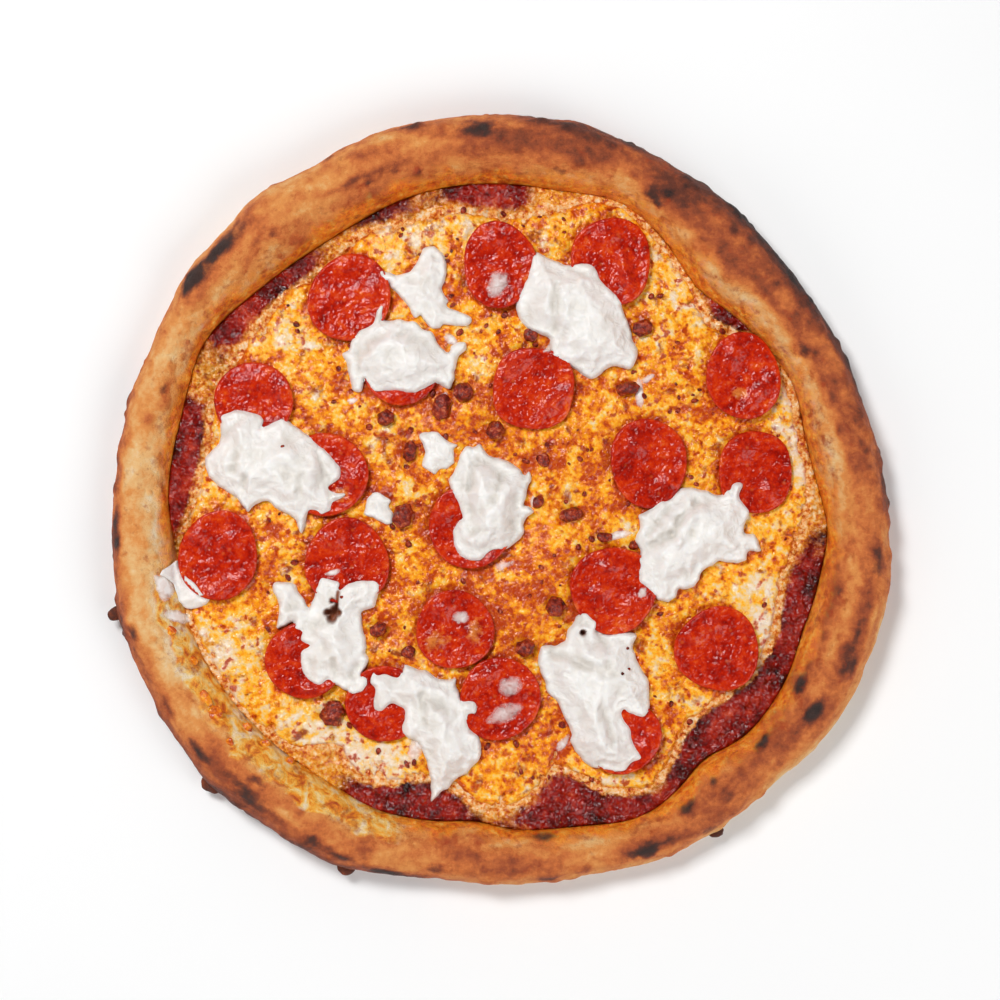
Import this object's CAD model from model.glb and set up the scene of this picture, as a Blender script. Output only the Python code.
import itertools
import math

import bmesh
import bpy
import numpy as np
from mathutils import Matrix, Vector
from mathutils.bvhtree import BVHTree


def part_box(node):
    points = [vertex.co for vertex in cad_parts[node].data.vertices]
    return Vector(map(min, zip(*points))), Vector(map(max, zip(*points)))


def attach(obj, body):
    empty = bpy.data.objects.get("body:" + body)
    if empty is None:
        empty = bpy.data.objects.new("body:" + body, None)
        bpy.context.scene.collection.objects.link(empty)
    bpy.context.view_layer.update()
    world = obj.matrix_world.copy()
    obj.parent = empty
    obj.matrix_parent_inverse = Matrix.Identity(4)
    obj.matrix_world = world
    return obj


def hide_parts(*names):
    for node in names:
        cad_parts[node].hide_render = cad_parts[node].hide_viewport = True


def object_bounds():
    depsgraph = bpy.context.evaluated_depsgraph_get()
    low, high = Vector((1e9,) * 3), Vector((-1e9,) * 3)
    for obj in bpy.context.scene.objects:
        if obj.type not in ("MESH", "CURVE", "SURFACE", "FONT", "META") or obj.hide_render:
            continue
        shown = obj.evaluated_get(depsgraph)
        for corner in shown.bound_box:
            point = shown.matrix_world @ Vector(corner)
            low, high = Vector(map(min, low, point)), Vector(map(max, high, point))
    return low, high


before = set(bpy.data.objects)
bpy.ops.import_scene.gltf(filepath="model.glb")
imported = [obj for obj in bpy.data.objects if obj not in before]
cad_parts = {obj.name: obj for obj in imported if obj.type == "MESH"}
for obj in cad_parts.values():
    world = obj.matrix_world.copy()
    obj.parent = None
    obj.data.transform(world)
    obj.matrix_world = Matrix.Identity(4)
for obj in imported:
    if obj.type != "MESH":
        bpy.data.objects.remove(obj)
cad_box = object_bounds()

# ---- Dough crust -------------------------------------------------------------
# The crust is one round of wheat dough, stretched by hand so that a thick rim
# is left, and baked in a wood oven. The rim puffs up, browns in patches and
# chars where its blisters stood nearest to the flames.

MM = 0.001
MIDDLE = np.array([1.05, 0.07, 0.0])  # of the dough, about which its rim was shaped
CRUST_SECTIONS = 240                  # read from the solid
CRUST_AROUND = 1200
CRUST_ACROSS = 76
RIM_CORE_HEIGHT = 8.5                 # of the rim's widest line
RIM_OUTER_SHARE = 0.47                # share of the rim's width outside the crest
FLOOR_LEVEL = 4.0
SECTION_SMOOTHING = 0.026             # radians round the rim

# How brown the rim is: direction, then its outer side, crest, upper slope and foot
BAKE_ROUND = [
    (0, 0.48, 0.50, 0.34, 0.26), (22, 0.80, 0.58, 0.26, 0.20), (42, 0.94, 0.67, 0.22, 0.18),
    (60, 0.80, 0.64, 0.26, 0.22), (80, 0.56, 0.68, 0.34, 0.26), (98, 0.50, 0.52, 0.46, 0.36),
    (116, 0.40, 0.48, 0.50, 0.38), (134, 0.42, 0.42, 0.38, 0.30), (152, 0.46, 0.36, 0.22, 0.24),
    (168, 0.58, 0.27, 0.20, 0.22), (184, 0.64, 0.27, 0.12, 0.10), (200, 0.72, 0.27, 0.08, 0.06),
    (216, 0.80, 0.42, 0.20, 0.16), (234, 0.80, 0.50, 0.34, 0.26), (252, 0.66, 0.48, 0.38, 0.28),
    (270, 0.38, 0.50, 0.38, 0.28), (288, 0.30, 0.50, 0.38, 0.28), (306, 0.22, 0.52, 0.44, 0.36),
    (324, 0.20, 0.50, 0.50, 0.42), (342, 0.34, 0.50, 0.46, 0.36),
]
# How strongly oil stains the slope: direction, half width, strength
STAINS = [
    (45, 32, 0.9), (100, 24, 0.9), (132, 22, 1.3), (158, 20, 1.2), (178, 10, 0.9), (202, 10, 0.6),
    (228, 26, 1.4), (262, 18, 1.1), (286, 16, 1.1), (318, 26, 0.9), (0, 20, 0.7),
]
# Where a thin film of cheese ran up the slope: direction, half width, strength
CHEESE_FILM = [(203, 13, 0.9), (222, 15, 1.0), (242, 12, 0.8)]
# Char: direction, radius, half length round the rim, half width, strength
CHAR_SPOTS = [
    (63.6, 138.3, 5, 3.5, 1.0), (80, 136.5, 3.5, 2.5, 0.9), (26, 137.5, 5, 2.5, 0.9),
    (104, 139, 2, 1.6, 0.7), (108, 141, 2, 1.5, 0.7), (113, 140, 2, 1.6, 0.7),
    (131, 142.5, 3, 2.5, 0.8), (162, 145.8, 3, 2.2, 0.75), (277, 139.6, 5, 3.2, 1.0),
    (301, 146.6, 3.5, 3, 0.9), (307, 143.7, 3, 2.5, 0.9), (317, 145.8, 4, 3, 1.0),
    (328, 144.5, 4, 3, 1.0), (229, 152, 3.5, 2.5, 0.8), (345, 142.5, 5, 3, 0.45),
    (93.5, 152.8, 8, 4, 0.95), (104, 157.7, 6, 2.5, 0.8), (117, 157.7, 4, 2.5, 0.75),
    (138, 155, 6, 2.2, 0.8), (145, 156.5, 8, 3.2, 1.1), (176, 159, 5, 2, 0.8),
    (186, 159, 4, 2, 0.75), (200, 161, 5, 2.5, 0.8), (220, 161, 5, 2.5, 0.8),
    (230, 161.4, 5, 2.5, 0.8), (240.6, 159, 4, 2.5, 0.8), (260, 153.6, 5, 3, 0.7),
    (292, 155.7, 5, 3, 0.8), (326, 154, 5, 3, 0.8), (351, 155.7, 6, 3, 0.8),
    (277, 157, 5, 2, 0.7), (302, 161, 5, 2.5, 0.8), (335, 158, 5, 2, 0.7),
]
# Smoky bands along the rim: first and last direction, radius, half width, strength
SMOKE_BANDS = [
    (-4, 66, 160.5, 4.6, 1.0), (12, 58, 156.5, 4.0, 0.45), (60, 96, 157, 3, 0.5),
    (130, 149, 154.5, 3.2, 1.15), (104, 124, 143.5, 1.8, 0.6), (172, 192, 158.5, 2, 0.5),
    (206, 224, 161, 1.6, 0.7), (222, 240, 158, 2.6, 0.8), (240, 266, 160, 2.0, 0.75),
    (283, 300, 156, 3, 0.4), (318, 352, 155, 3.5, 0.4),
]
# Flaps of burnt dough on the rim's outer side: direction, radius, length, width, height
FLAPS = [
    (246.9, 163.5, 9, 7, 7), (196.4, 166, 8, 6, 8), (303, 162.5, 7, 6, 7),
    (224.3, 167.5, 9, 9, 6),
]
FLAP_THICKNESS = 4
FLAP_LEAN = -20                       # degrees, so that a flap's tip points down
# Blisters swell the skin, and leopard spots are the small round chars between them
BLISTER_COUNT, BLISTER_WIDTHS = 260, (2.0, 6.5)
LEOPARD_COUNT, LEOPARD_WIDTHS = 70, (1.4, 4.2)
RIM_SQUEEZE = 60                      # stands for the rim's radius in streaks drawn out along it


def linear(hex_colour):
    """An sRGB hex colour as linear RGBA."""
    shares = [int(hex_colour[i:i + 2], 16) / 255 for i in (1, 3, 5)]
    return [s / 12.92 if s <= 0.04045 else ((s + 0.055) / 1.055) ** 2.4 for s in shares] + [1.0]


def add_node(tree, kind, settings=None, links=None):
    """Adds a node: settings go to its properties, ramp stops or sockets, links to its sockets."""
    node = tree.nodes.new(kind)
    for key, value in (settings or {}).items():
        if key == "stops":
            ramp = node.color_ramp.elements
            for index, (place, colour) in enumerate(value):
                stop = ramp[index] if index < len(ramp) else ramp.new(place)
                stop.position = place
                stop.color = linear(colour)
        elif isinstance(key, str) and hasattr(node, key):
            setattr(node, key, value)
        else:
            node.inputs[key].default_value = value
    for key, (source, output) in (links or {}).items():
        tree.links.new(source.outputs[output], node.inputs[key])
    return node


def new_material(name):
    """An empty node material and its node tree."""
    material = bpy.data.materials.new(name)
    material.use_nodes = True
    material.node_tree.nodes.clear()
    return material, material.node_tree


def make_mesh(name, points, faces, marks=None):
    """A smooth mesh from points in millimetres; marks are numbers kept at its points."""
    mesh = bpy.data.meshes.new(name)
    mesh.from_pydata((np.asarray(points) * MM).tolist(), [], faces)
    mesh.polygons.foreach_set("use_smooth", [True] * len(mesh.polygons))
    for mark, values in (marks or {}).items():
        layer = mesh.attributes.new(mark, "FLOAT", "POINT")
        layer.data.foreach_set("value", np.asarray(values, dtype=np.float32))
    mesh.update()
    return mesh


def add_piece(name, mesh, material, nodes=()):
    """Puts a mesh in the scene as a piece of the pizza."""
    piece = bpy.data.objects.new(name, mesh)
    bpy.context.scene.collection.objects.link(piece)
    mesh.materials.clear()
    mesh.materials.append(material)
    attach(piece, "root")
    if nodes:
        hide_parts(*nodes)
    return piece


def solid_tree(*names):
    """A search tree of the faces of some CAD solids."""
    points, faces = [], []
    for name in names:
        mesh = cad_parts[name].data
        faces += [tuple(len(points) + i for i in p.vertices) for p in mesh.polygons]
        points += [v.co.copy() for v in mesh.vertices]
    return BVHTree.FromPolygons(points, faces)


def hit(tree, start, direction):
    """Where a ray from start, in millimetres about the middle, meets the tree; or None."""
    found = tree.ray_cast(Vector((np.asarray(start) + MIDDLE) * MM), Vector(direction))[0]
    return None if found is None else np.array(found) / MM - MIDDLE


def lumps(points, size, seed):
    """Smooth noise from -1 to 1, with lumps about size millimetres across."""
    scaled = np.asarray(points) / size + seed * 17.31
    cell = np.floor(scaled).astype(np.int64)
    part = scaled - cell
    part = part * part * (3 - 2 * part)
    total = np.zeros(len(scaled))
    for corner in itertools.product((0, 1), repeat=3):
        key = (cell + np.array(corner)) @ np.array([73856093, 19349663, 83492791])
        key = (key ^ (key >> 13)) * 1274126177
        value = ((key ^ (key >> 16)) & 0xFFFF) / 32767.5 - 1
        total += value * np.prod(np.where(corner, part, 1 - part), axis=1)
    return total


def rough(points, size, seed, steps=3):
    """Noise with finer lumps on the coarse ones."""
    return sum(lumps(points, size / 2 ** k, seed + k) / 2 ** k for k in range(steps)) / 1.5


def smoothstep(values, low, high):
    share = np.clip((values - low) / (high - low), 0, 1)
    return share * share * (3 - 2 * share)


def turn_between(a, b):
    """The shorter way round between directions, in degrees."""
    turn = np.abs(a - b) % 360
    return np.minimum(turn, 360 - turn)


def rim_section(tree, degrees):
    """Radius and height at even steps along the rim's section, from the underside to the foot."""
    out = np.array([math.cos(math.radians(degrees)), math.sin(math.radians(degrees)), 0])
    up = np.array([0, 0, 1])
    outer = np.linalg.norm(hit(tree, out * 200 + up * RIM_CORE_HEIGHT, -out)[:2])
    foot = np.linalg.norm(hit(tree, up * (FLOOR_LEVEL + 0.5), out)[:2])
    core = outer - RIM_OUTER_SHARE * (outer - foot)
    last = 180 + math.degrees(math.atan2(RIM_CORE_HEIGHT - FLOOR_LEVEL - 0.3, core - foot))
    section = []
    for turn in np.radians(np.linspace(-90, last, 64)):
        met = hit(tree, out * core + up * RIM_CORE_HEIGHT,
                  out * math.cos(turn) + up * math.sin(turn))
        section.append((met @ out, met[2]))
    section = np.array(section)
    run = np.concatenate([[0], np.cumsum(np.linalg.norm(np.diff(section, axis=0), axis=1))])
    even = np.linspace(0, run[-1], CRUST_ACROSS)
    return np.stack([np.interp(even, run, section[:, k]) for k in (0, 1)], axis=1)


def round_smoothed(values, count, softness):
    """Values at even directions, smoothed and read at count directions."""
    waves = np.fft.rfft(values, axis=0)
    order = np.arange(len(waves))
    shape = (-1,) + (1,) * (values.ndim - 1)
    waves = waves * np.exp(-0.5 * (order * softness) ** 2).reshape(shape)
    return np.fft.irfft(waves, n=count, axis=0) * count / len(values)


def along_smoothed(values, width):
    """Values smoothed along the section, with its ends kept."""
    reach = np.arange(-3 * width, 3 * width + 1)
    weights = np.exp(-0.5 * (reach / width) ** 2)
    padded = np.pad(values, ((0, 0), (3 * width, 3 * width), (0, 0)), mode="reflect",
                    reflect_type="odd")
    total = sum(w * padded[:, k:k + values.shape[1]] for k, w in enumerate(weights))
    return total / weights.sum()


dough_tree = solid_tree("dough_crust")
sections = np.array([
    rim_section(dough_tree, 360 * i / CRUST_SECTIONS) for i in range(CRUST_SECTIONS)])
sections = along_smoothed(round_smoothed(sections, CRUST_AROUND, SECTION_SMOOTHING), 2)
sections[:, 0, 1] = 0
direction = np.arange(CRUST_AROUND) * 2 * math.pi / CRUST_AROUND
degrees = np.degrees(direction)[:, None] + np.zeros((1, CRUST_ACROSS))
radius, height = sections[..., 0], sections[..., 1]
crust = np.stack([radius * np.cos(direction)[:, None], radius * np.sin(direction)[:, None],
                  height], axis=-1)
crest = height.argmax(axis=1)[:, None]
station = np.arange(CRUST_ACROSS)[None, :]
outside = np.clip((crest - station) / crest, 0, 1)          # 0 at the crest, 1 underneath
inside = np.clip((station - crest) / (CRUST_ACROSS - 1 - crest), 0, 1)  # 1 at the foot


def surface_normals(grid):
    """Normals of a grid that closes on itself along its first axis."""
    round_way = np.roll(grid, -1, axis=0) - np.roll(grid, 1, axis=0)
    across_way = np.gradient(grid, axis=1)
    normals = np.cross(round_way, across_way)
    return normals / np.linalg.norm(normals, axis=-1, keepdims=True)


def domes(points, centres, widths):
    """For each point, the highest of round domes, from 0 to 1."""
    top = np.zeros(len(points))
    for centre, width in zip(centres, widths):
        share = ((points - centre) ** 2).sum(axis=1) / width ** 2
        top = np.maximum(top, np.clip(1 - share, 0, 1) ** 2)
    return top


normals = surface_normals(crust)
flat = crust.reshape(-1, 3)
chance = np.random.default_rng(11)
upper_side = height > 5
free_side = (upper_side & (inside < 0.85)).ravel()

blister_centres = flat[chance.choice(np.flatnonzero(free_side), BLISTER_COUNT, replace=False)]
blister_widths = chance.uniform(*BLISTER_WIDTHS, BLISTER_COUNT)
blisters = domes(flat, blister_centres, blister_widths)
outer_side = free_side & (outside > 0.12).ravel()
leopard_centres = flat[chance.choice(np.flatnonzero(outer_side), LEOPARD_COUNT, replace=False)]
leopard_widths = chance.uniform(*LEOPARD_WIDTHS, LEOPARD_COUNT)
smudged = flat + 1.8 * np.stack([rough(flat, 3.5, seed) for seed in (61, 62, 63)], axis=1)
leopard = domes(smudged, leopard_centres, leopard_widths)

calm = (smoothstep(height, 0.3, 4) * smoothstep(1 - inside, 0.02, 0.25)).ravel()
relief = (0.7 * rough(flat, 24, 1) + 0.6 * rough(flat, 9, 2) + 0.22 * rough(flat, 2.6, 3)
          + 0.85 * blisters - 0.25)
crust = (flat + normals.reshape(-1, 3) * (relief * calm)[:, None]).reshape(crust.shape)

char = np.zeros_like(height)
smudge_along = 3.0 * rough(flat, 5, 57).reshape(height.shape)
smudge_across = 1.5 * rough(flat, 4, 58).reshape(height.shape)
for where, out, length, width, strength in CHAR_SPOTS:
    index = int(round(where / 360 * CRUST_AROUND)) % CRUST_AROUND
    upper = np.arange(int(crest[index, 0] * 0.35), CRUST_ACROSS - 4)
    place = upper[np.abs(radius[index, upper] - out).argmin()]
    around = np.radians(turn_between(degrees, where)) * radius + smudge_along
    across = np.hypot(radius - radius[index, place], height - height[index, place]) + smudge_across
    char += strength * np.exp(-(around / length) ** 2 - (across / width) ** 2)
# Along the rim everything is drawn out, so these points are squeezed that way.
run = np.cumsum(np.concatenate([np.zeros((CRUST_AROUND, 1)), np.linalg.norm(
    np.diff(crust, axis=1), axis=-1)], axis=1), axis=1)
way_round = np.broadcast_to(direction[:, None], run.shape)
drawn = np.stack([RIM_SQUEEZE * np.cos(way_round), RIM_SQUEEZE * np.sin(way_round), run],
                 axis=-1).reshape(-1, 3)
streaks = rough(drawn, 7, 51).reshape(char.shape)
streaks_fine = rough(drawn, 2.6, 52).reshape(char.shape)
for first, last, out, width, strength in SMOKE_BANDS:
    turned = (degrees - first + 180) % 360 - 180
    within = smoothstep(turned, 0, 6) * smoothstep(last - first - turned, 0, 6)
    low = np.clip(height.max(axis=1, keepdims=True) - 12 - height, 0, None) * (radius > out)
    char += strength * within * np.exp(-((radius - out) / width) ** 2 - (low / 9) ** 2) * (
        0.75 + 0.6 * streaks) * smoothstep(height, 2, 6)
char += 0.75 * leopard.reshape(char.shape) * (0.2 + 0.8 * outside)
char = char * (0.85 + 0.3 * streaks_fine)

table = np.array(BAKE_ROUND, dtype=float)
table = np.concatenate([table, table[:1] + np.array([360, 0, 0, 0, 0])])
rows = [np.interp(np.degrees(direction), table[:, 0], table[:, k])[:, None] for k in (1, 2, 3, 4)]
bake = np.where(station <= crest, rows[1] + (rows[0] - rows[1]) * smoothstep(outside, 0.05, 0.5), 0)
bake = bake + np.where(station > crest, rows[1] + (rows[2] - rows[1]) * smoothstep(inside, 0, 0.45)
                       + (rows[3] - rows[2]) * smoothstep(inside, 0.45, 1), 0)
bake = bake - 0.3 * smoothstep(-height, -5, -1)
bake = bake + 0.2 * streaks + 0.1 * streaks_fine + (
    0.10 * rough(flat, 22, 5) + 0.12 * blisters).reshape(bake.shape)
bake = bake + 0.35 * np.clip(char, 0, 1)
stain_round = sum(strength * np.exp(-(turn_between(degrees, where) / width) ** 2)
                  for where, width, strength in STAINS)
ragged_foot = inside + 0.16 * rough(flat, 5, 8).reshape(bake.shape)
stain = np.clip(stain_round, 0, 1) * smoothstep(
    ragged_foot + 0.22 * rough(flat, 8, 55, steps=4).reshape(bake.shape), 0.3, 0.8)
film_round = sum(strength * np.exp(-(turn_between(degrees, where) / width) ** 4)
                 for where, width, strength in CHEESE_FILM)
film = np.clip(film_round, 0, 1) * smoothstep(
    inside + 0.2 * rough(flat, 7, 64, steps=4).reshape(bake.shape), 0.08, 0.4)
speck = smoothstep(rough(flat, 9, 53).reshape(bake.shape), -0.15, 0.25)
speck = np.clip(speck * smoothstep(ragged_foot, 0.12, 0.35) * (0.4 + stain_round), 0, 1)

underside_pole, floor_pole = [0, 0, 0], [0, 0, FLOOR_LEVEL]


def about_upright(points, turn):
    """Points turned about the upright axis, by degrees."""
    cosine, sine = math.cos(math.radians(turn)), math.sin(math.radians(turn))
    return np.column_stack([points[:, :2] @ np.array([[cosine, sine], [-sine, cosine]]),
                            points[:, 2:]])


def blob(centre, size, turn, lean, seed, steps):
    """A rough closed lump: its points in millimetres and its faces."""
    body = bmesh.new()
    bmesh.ops.create_icosphere(body, subdivisions=steps, radius=0.5)
    body.verts.ensure_lookup_table()
    points = np.array([v.co for v in body.verts])
    faces = [tuple(v.index for v in face.verts) for face in body.faces]
    body.free()
    uneven = 1 + 0.4 * rough(points + seed, 0.45, seed, steps=2)
    points = points * uneven[:, None] * np.array(size)
    cosine, sine = math.cos(math.radians(lean)), math.sin(math.radians(lean))
    points = points @ np.array([[cosine, 0, -sine], [0, 1, 0], [sine, 0, cosine]])
    return about_upright(points, turn) + np.array(centre), faces


def joined(parts):
    """Several bodies in one list of points and faces."""
    points, faces = [], []
    for part_points, part_faces in parts:
        start = sum(len(p) for p in points)
        points.append(part_points)
        faces += [tuple(start + i for i in face) for face in part_faces]
    return np.concatenate(points), faces


crags = np.clip(char, 0, 1) * (0.5 * rough(flat, 3, 54, steps=2)).reshape(char.shape)
crust = crust + normals * (crags * calm.reshape(char.shape))[..., None]
crust_points = np.concatenate([crust.reshape(-1, 3), [underside_pole, floor_pole]]) + MIDDLE
grid = np.arange(CRUST_AROUND * CRUST_ACROSS).reshape(CRUST_AROUND, CRUST_ACROSS)
following = np.roll(grid, -1, axis=0)
crust_faces = np.stack([grid[:, :-1], following[:, :-1], following[:, 1:], grid[:, 1:]],
                       axis=-1).reshape(-1, 4).tolist()
pole = grid.size
crust_faces += [(pole, int(b), int(a)) for a, b in zip(grid[:, 0], following[:, 0])]
crust_faces += [(pole + 1, int(a), int(b)) for a, b in zip(grid[:, -1], following[:, -1])]

flaps = [blob((out * math.cos(math.radians(where)), out * math.sin(math.radians(where)), up),
              (length * k, width * k, FLAP_THICKNESS * k), where + shift, FLAP_LEAN, 60 + index, 4)
         for index, (where, out, length, width, up) in enumerate(FLAPS)
         for k, shift in ((0.95, 0), (0.6, 24))]
flap_points, flap_faces = joined(flaps)
crust_points, crust_faces = joined([(crust_points, crust_faces),
                                    (flap_points + MIDDLE, flap_faces)])
crust_points = np.clip(crust_points, np.array(cad_box[0]) / MM, np.array(cad_box[1]) / MM)
marks = {"bake": (bake, 0.75), "char": (char, 0.55), "stain": (stain, 0), "speck": (speck, 0),
         "film": (film, 0)}
crust_mesh = make_mesh("dough_crust_baked", crust_points, crust_faces, {
    mark: np.concatenate([values.ravel(), [values[:, end].mean() for end in (0, -1)],
                          np.full(len(flap_points), on_flap)])
    for mark, (values, on_flap) in marks.items()})

# Baked wheat dough: a dry matt skin, cream where it is pale, orange-brown where it
# caught the heat, smoky black in bands; red oil stains and specks the slope's foot.
baked_dough, tree = new_material("baked_wheat_dough")
place = add_node(tree, "ShaderNodeTexCoord")
freckles = add_node(tree, "ShaderNodeTexNoise",
                    {"Scale": 1 / 0.0032, "Detail": 6.0, "Roughness": 0.7},
                    {"Vector": (place, "Object")})
pores = add_node(tree, "ShaderNodeTexNoise", {"Scale": 1 / 0.0008, "Detail": 3.0},
                 {"Vector": (place, "Object")})
baking = add_node(tree, "ShaderNodeAttribute", {"attribute_name": "bake"})
freckled = add_node(tree, "ShaderNodeMath", {"operation": "MULTIPLY_ADD", 1: 0.5},
                    {0: (freckles, "Fac"), 2: (baking, "Fac")})
browning = add_node(tree, "ShaderNodeMath", {"operation": "SUBTRACT", 1: 0.25}, {0: (freckled, 0)})
skin = add_node(tree, "ShaderNodeValToRGB", {"stops": [
    (0.0, "#F0DCBA"), (0.2, "#EDBC7C"), (0.36, "#E5954A"), (0.5, "#D27234"), (0.64, "#A84E24"),
    (0.8, "#6C301A"), (1.0, "#2A1611")]}, {"Fac": (browning, 0)})
staining = add_node(tree, "ShaderNodeAttribute", {"attribute_name": "stain"})
stain_edge = add_node(tree, "ShaderNodeMath", {"operation": "MULTIPLY_ADD", 1: 0.35},
                      {0: (freckles, "Fac"), 2: (staining, "Fac")})
stain_share = add_node(tree, "ShaderNodeMapRange",
                       {"From Min": 0.22, "From Max": 1.0, "To Max": 0.95},
                       {"Value": (stain_edge, 0)})
oil_tone = add_node(tree, "ShaderNodeValToRGB", {"stops": [
    (0.36, "#DE5608"), (0.46, "#F67C10"), (0.56, "#FF9C22"),
    (0.7, "#FFC464")]}, {"Fac": (freckles, "Fac")})
oiled = add_node(tree, "ShaderNodeMix", {"data_type": "RGBA"},
                 {"Factor": (stain_share, 0), 6: (skin, "Color"), 7: (oil_tone, "Color")})
filming = add_node(tree, "ShaderNodeAttribute", {"attribute_name": "film"})
curds = add_node(tree, "ShaderNodeTexNoise",
                 {"Scale": 1 / 0.0062, "Detail": 5.0, "Roughness": 0.6, "Distortion": 0.5},
                 {"Vector": (place, "Object")})
film_edge = add_node(tree, "ShaderNodeMath", {"operation": "MULTIPLY_ADD", 1: 0.5},
                     {0: (curds, "Fac"), 2: (filming, "Fac")})
film_share = add_node(tree, "ShaderNodeMapRange",
                      {"From Min": 0.5, "From Max": 0.9, "To Max": 0.95},
                      {"Value": (film_edge, 0)})
film_tone = add_node(tree, "ShaderNodeValToRGB", {"stops": [
    (0.34, "#C04A0C"), (0.42, "#F08C18"), (0.48, "#FAB43C"), (0.55, "#F6D080"), (0.64, "#F4DEBC")]},
    {"Fac": (curds, "Fac")})
filmed = add_node(tree, "ShaderNodeMix", {"data_type": "RGBA"},
                  {"Factor": (film_share, 0), 6: (oiled, 2), 7: (film_tone, "Color")})
specks = add_node(tree, "ShaderNodeTexNoise",
                  {"Scale": 1 / 0.0042, "Detail": 5.0, "Roughness": 0.65},
                  {"Vector": (place, "Object")})
specking = add_node(tree, "ShaderNodeAttribute", {"attribute_name": "speck"})
speck_core = add_node(tree, "ShaderNodeMath", {"operation": "MULTIPLY_ADD", 1: 0.13},
                      {0: (specking, "Fac"), 2: (specks, "Fac")})
speck_share = add_node(tree, "ShaderNodeMapRange",
                       {"From Min": 0.58, "From Max": 0.8, "To Max": 0.8},
                       {"Value": (speck_core, 0)})
specked = add_node(tree, "ShaderNodeMix", {"data_type": "RGBA", 7: linear("#A83806")},
                   {"Factor": (speck_share, 0), 6: (filmed, 2)})
charring = add_node(tree, "ShaderNodeAttribute", {"attribute_name": "char"})
char_edge = add_node(tree, "ShaderNodeMath", {"operation": "MULTIPLY_ADD", 1: 0.8},
                     {0: (freckles, "Fac"), 2: (charring, "Fac")})
char_share = add_node(tree, "ShaderNodeMapRange",
                      {"From Min": 0.68, "From Max": 1.3, "To Max": 0.96},
                      {"Value": (char_edge, 0)})
coal = add_node(tree, "ShaderNodeValToRGB", {"stops": [(0.3, "#150F0D"), (0.75, "#46302A")]},
                {"Fac": (freckles, "Fac")})
burnt = add_node(tree, "ShaderNodeMix", {"data_type": "RGBA"},
                 {"Factor": (char_share, 0), 6: (specked, 2), 7: (coal, "Color")})
sheen = add_node(tree, "ShaderNodeMapRange", {"To Min": 0.7, "To Max": 0.3},
                 {"Value": (stain_share, 0)})
fine_skin = add_node(tree, "ShaderNodeBump", {"Strength": 0.4, "Distance": 0.0004},
                     {"Height": (pores, "Fac")})
blistered = add_node(tree, "ShaderNodeBump", {"Strength": 0.8, "Distance": 0.0016},
                     {"Height": (freckles, "Fac"), "Normal": (fine_skin, "Normal")})
dough_surface = add_node(tree, "ShaderNodeBsdfPrincipled", {"IOR": 1.45}, {
    "Base Color": (burnt, 2), "Roughness": (sheen, 0), "Normal": (blistered, "Normal")})
add_node(tree, "ShaderNodeOutputMaterial", None, {"Surface": (dough_surface, "BSDF")})
add_piece("dough_crust_baked", crust_mesh, baked_dough, ["dough_crust"])

# ---- Tomato sauce ------------------------------------------------------------
# Crushed tomato, ladled on the raw dough and spread thin up to the rim. It shows
# between the cheese and the rim, dark and wet with oil, and matt where it dried.

SAUCE_AROUND = 720
SAUCE_RINGS = 50
SAUCE_INNER_SHARE = 0.6
SAUCE_LEVEL = 5.7
SAUCE_FOOT = 4.1
# Where the sauce shows between cheese and rim: direction, half width, amount. Elsewhere
# oil and thin strands of cheese cover it.
BARE_SAUCE = [
    (18, 12, 0.6), (40, 9, 0.75), (92, 10, 0.8), (112, 9, 0.6), (139, 15, 0.9), (174, 14, 1.0),
    (245, 5, 0.6), (256, 11, 0.8), (282, 14, 0.7), (324, 32, 1.0),
]


def ring_profile(tree, level, count):
    """Radius of a solid at a height, seen from the middle, at even directions."""
    return np.array([
        np.linalg.norm(hit(tree, (0, 0, level), (math.cos(a), math.sin(a), 0))[:2])
        for a in np.arange(count) * 2 * math.pi / count])


foot_radius = round_smoothed(
    ring_profile(solid_tree("tomato_sauce"), 5.0, 240), SAUCE_AROUND, 0.012) + 0.6
cheese_tree = solid_tree("melted_cheese")
cheese_reach = ring_profile(cheese_tree, 6.4, 360)
turn = np.arange(SAUCE_AROUND) * 2 * math.pi / SAUCE_AROUND
share = np.linspace(SAUCE_INNER_SHARE, 1, SAUCE_RINGS)
sauce_radius = foot_radius[:, None] * share[None, :]
sauce = np.stack([sauce_radius * np.cos(turn)[:, None], sauce_radius * np.sin(turn)[:, None],
                  np.zeros_like(sauce_radius)], axis=-1).reshape(-1, 3)
pulp = rough(sauce, 7, 21) + 0.5 * rough(sauce, 2.5, 22)
sauce[:, 2] = 5.75 + 0.45 * pulp
sauce[:, 2] += 0.9 * np.tile(smoothstep(share, 0.965, 1.0), SAUCE_AROUND)
count = SAUCE_AROUND * SAUCE_RINGS
grid = np.arange(count).reshape(SAUCE_AROUND, SAUCE_RINGS)
low_ring = sauce[grid[:, -1]].copy()
low_ring[:, 2] = SAUCE_FOOT
following = np.roll(grid, -1, axis=0)
caps = [[0, 0, SAUCE_LEVEL], [0, 0, SAUCE_FOOT]]
sauce_points = np.concatenate([sauce, low_ring, caps]) + MIDDLE
sauce_faces = np.stack([grid[:, :-1], grid[:, 1:], following[:, 1:], following[:, :-1]],
                       axis=-1).reshape(-1, 4).tolist()
for i in range(SAUCE_AROUND):
    j = (i + 1) % SAUCE_AROUND
    low, low_next = count + i, count + j
    sauce_faces.append((int(grid[i, 0]), int(grid[j, 0]), count + SAUCE_AROUND))
    sauce_faces.append((int(grid[i, -1]), low, low_next, int(grid[j, -1])))
    sauce_faces.append((low_next, low, count + SAUCE_AROUND + 1))
around = np.degrees(np.arctan2(sauce_points[:, 1], sauce_points[:, 0]))
beside = np.hypot(sauce_points[:, 0] - MIDDLE[0], sauce_points[:, 1] - MIDDLE[1]) - np.interp(
    around % 360, np.arange(361), np.append(cheese_reach, cheese_reach[0]))
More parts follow.
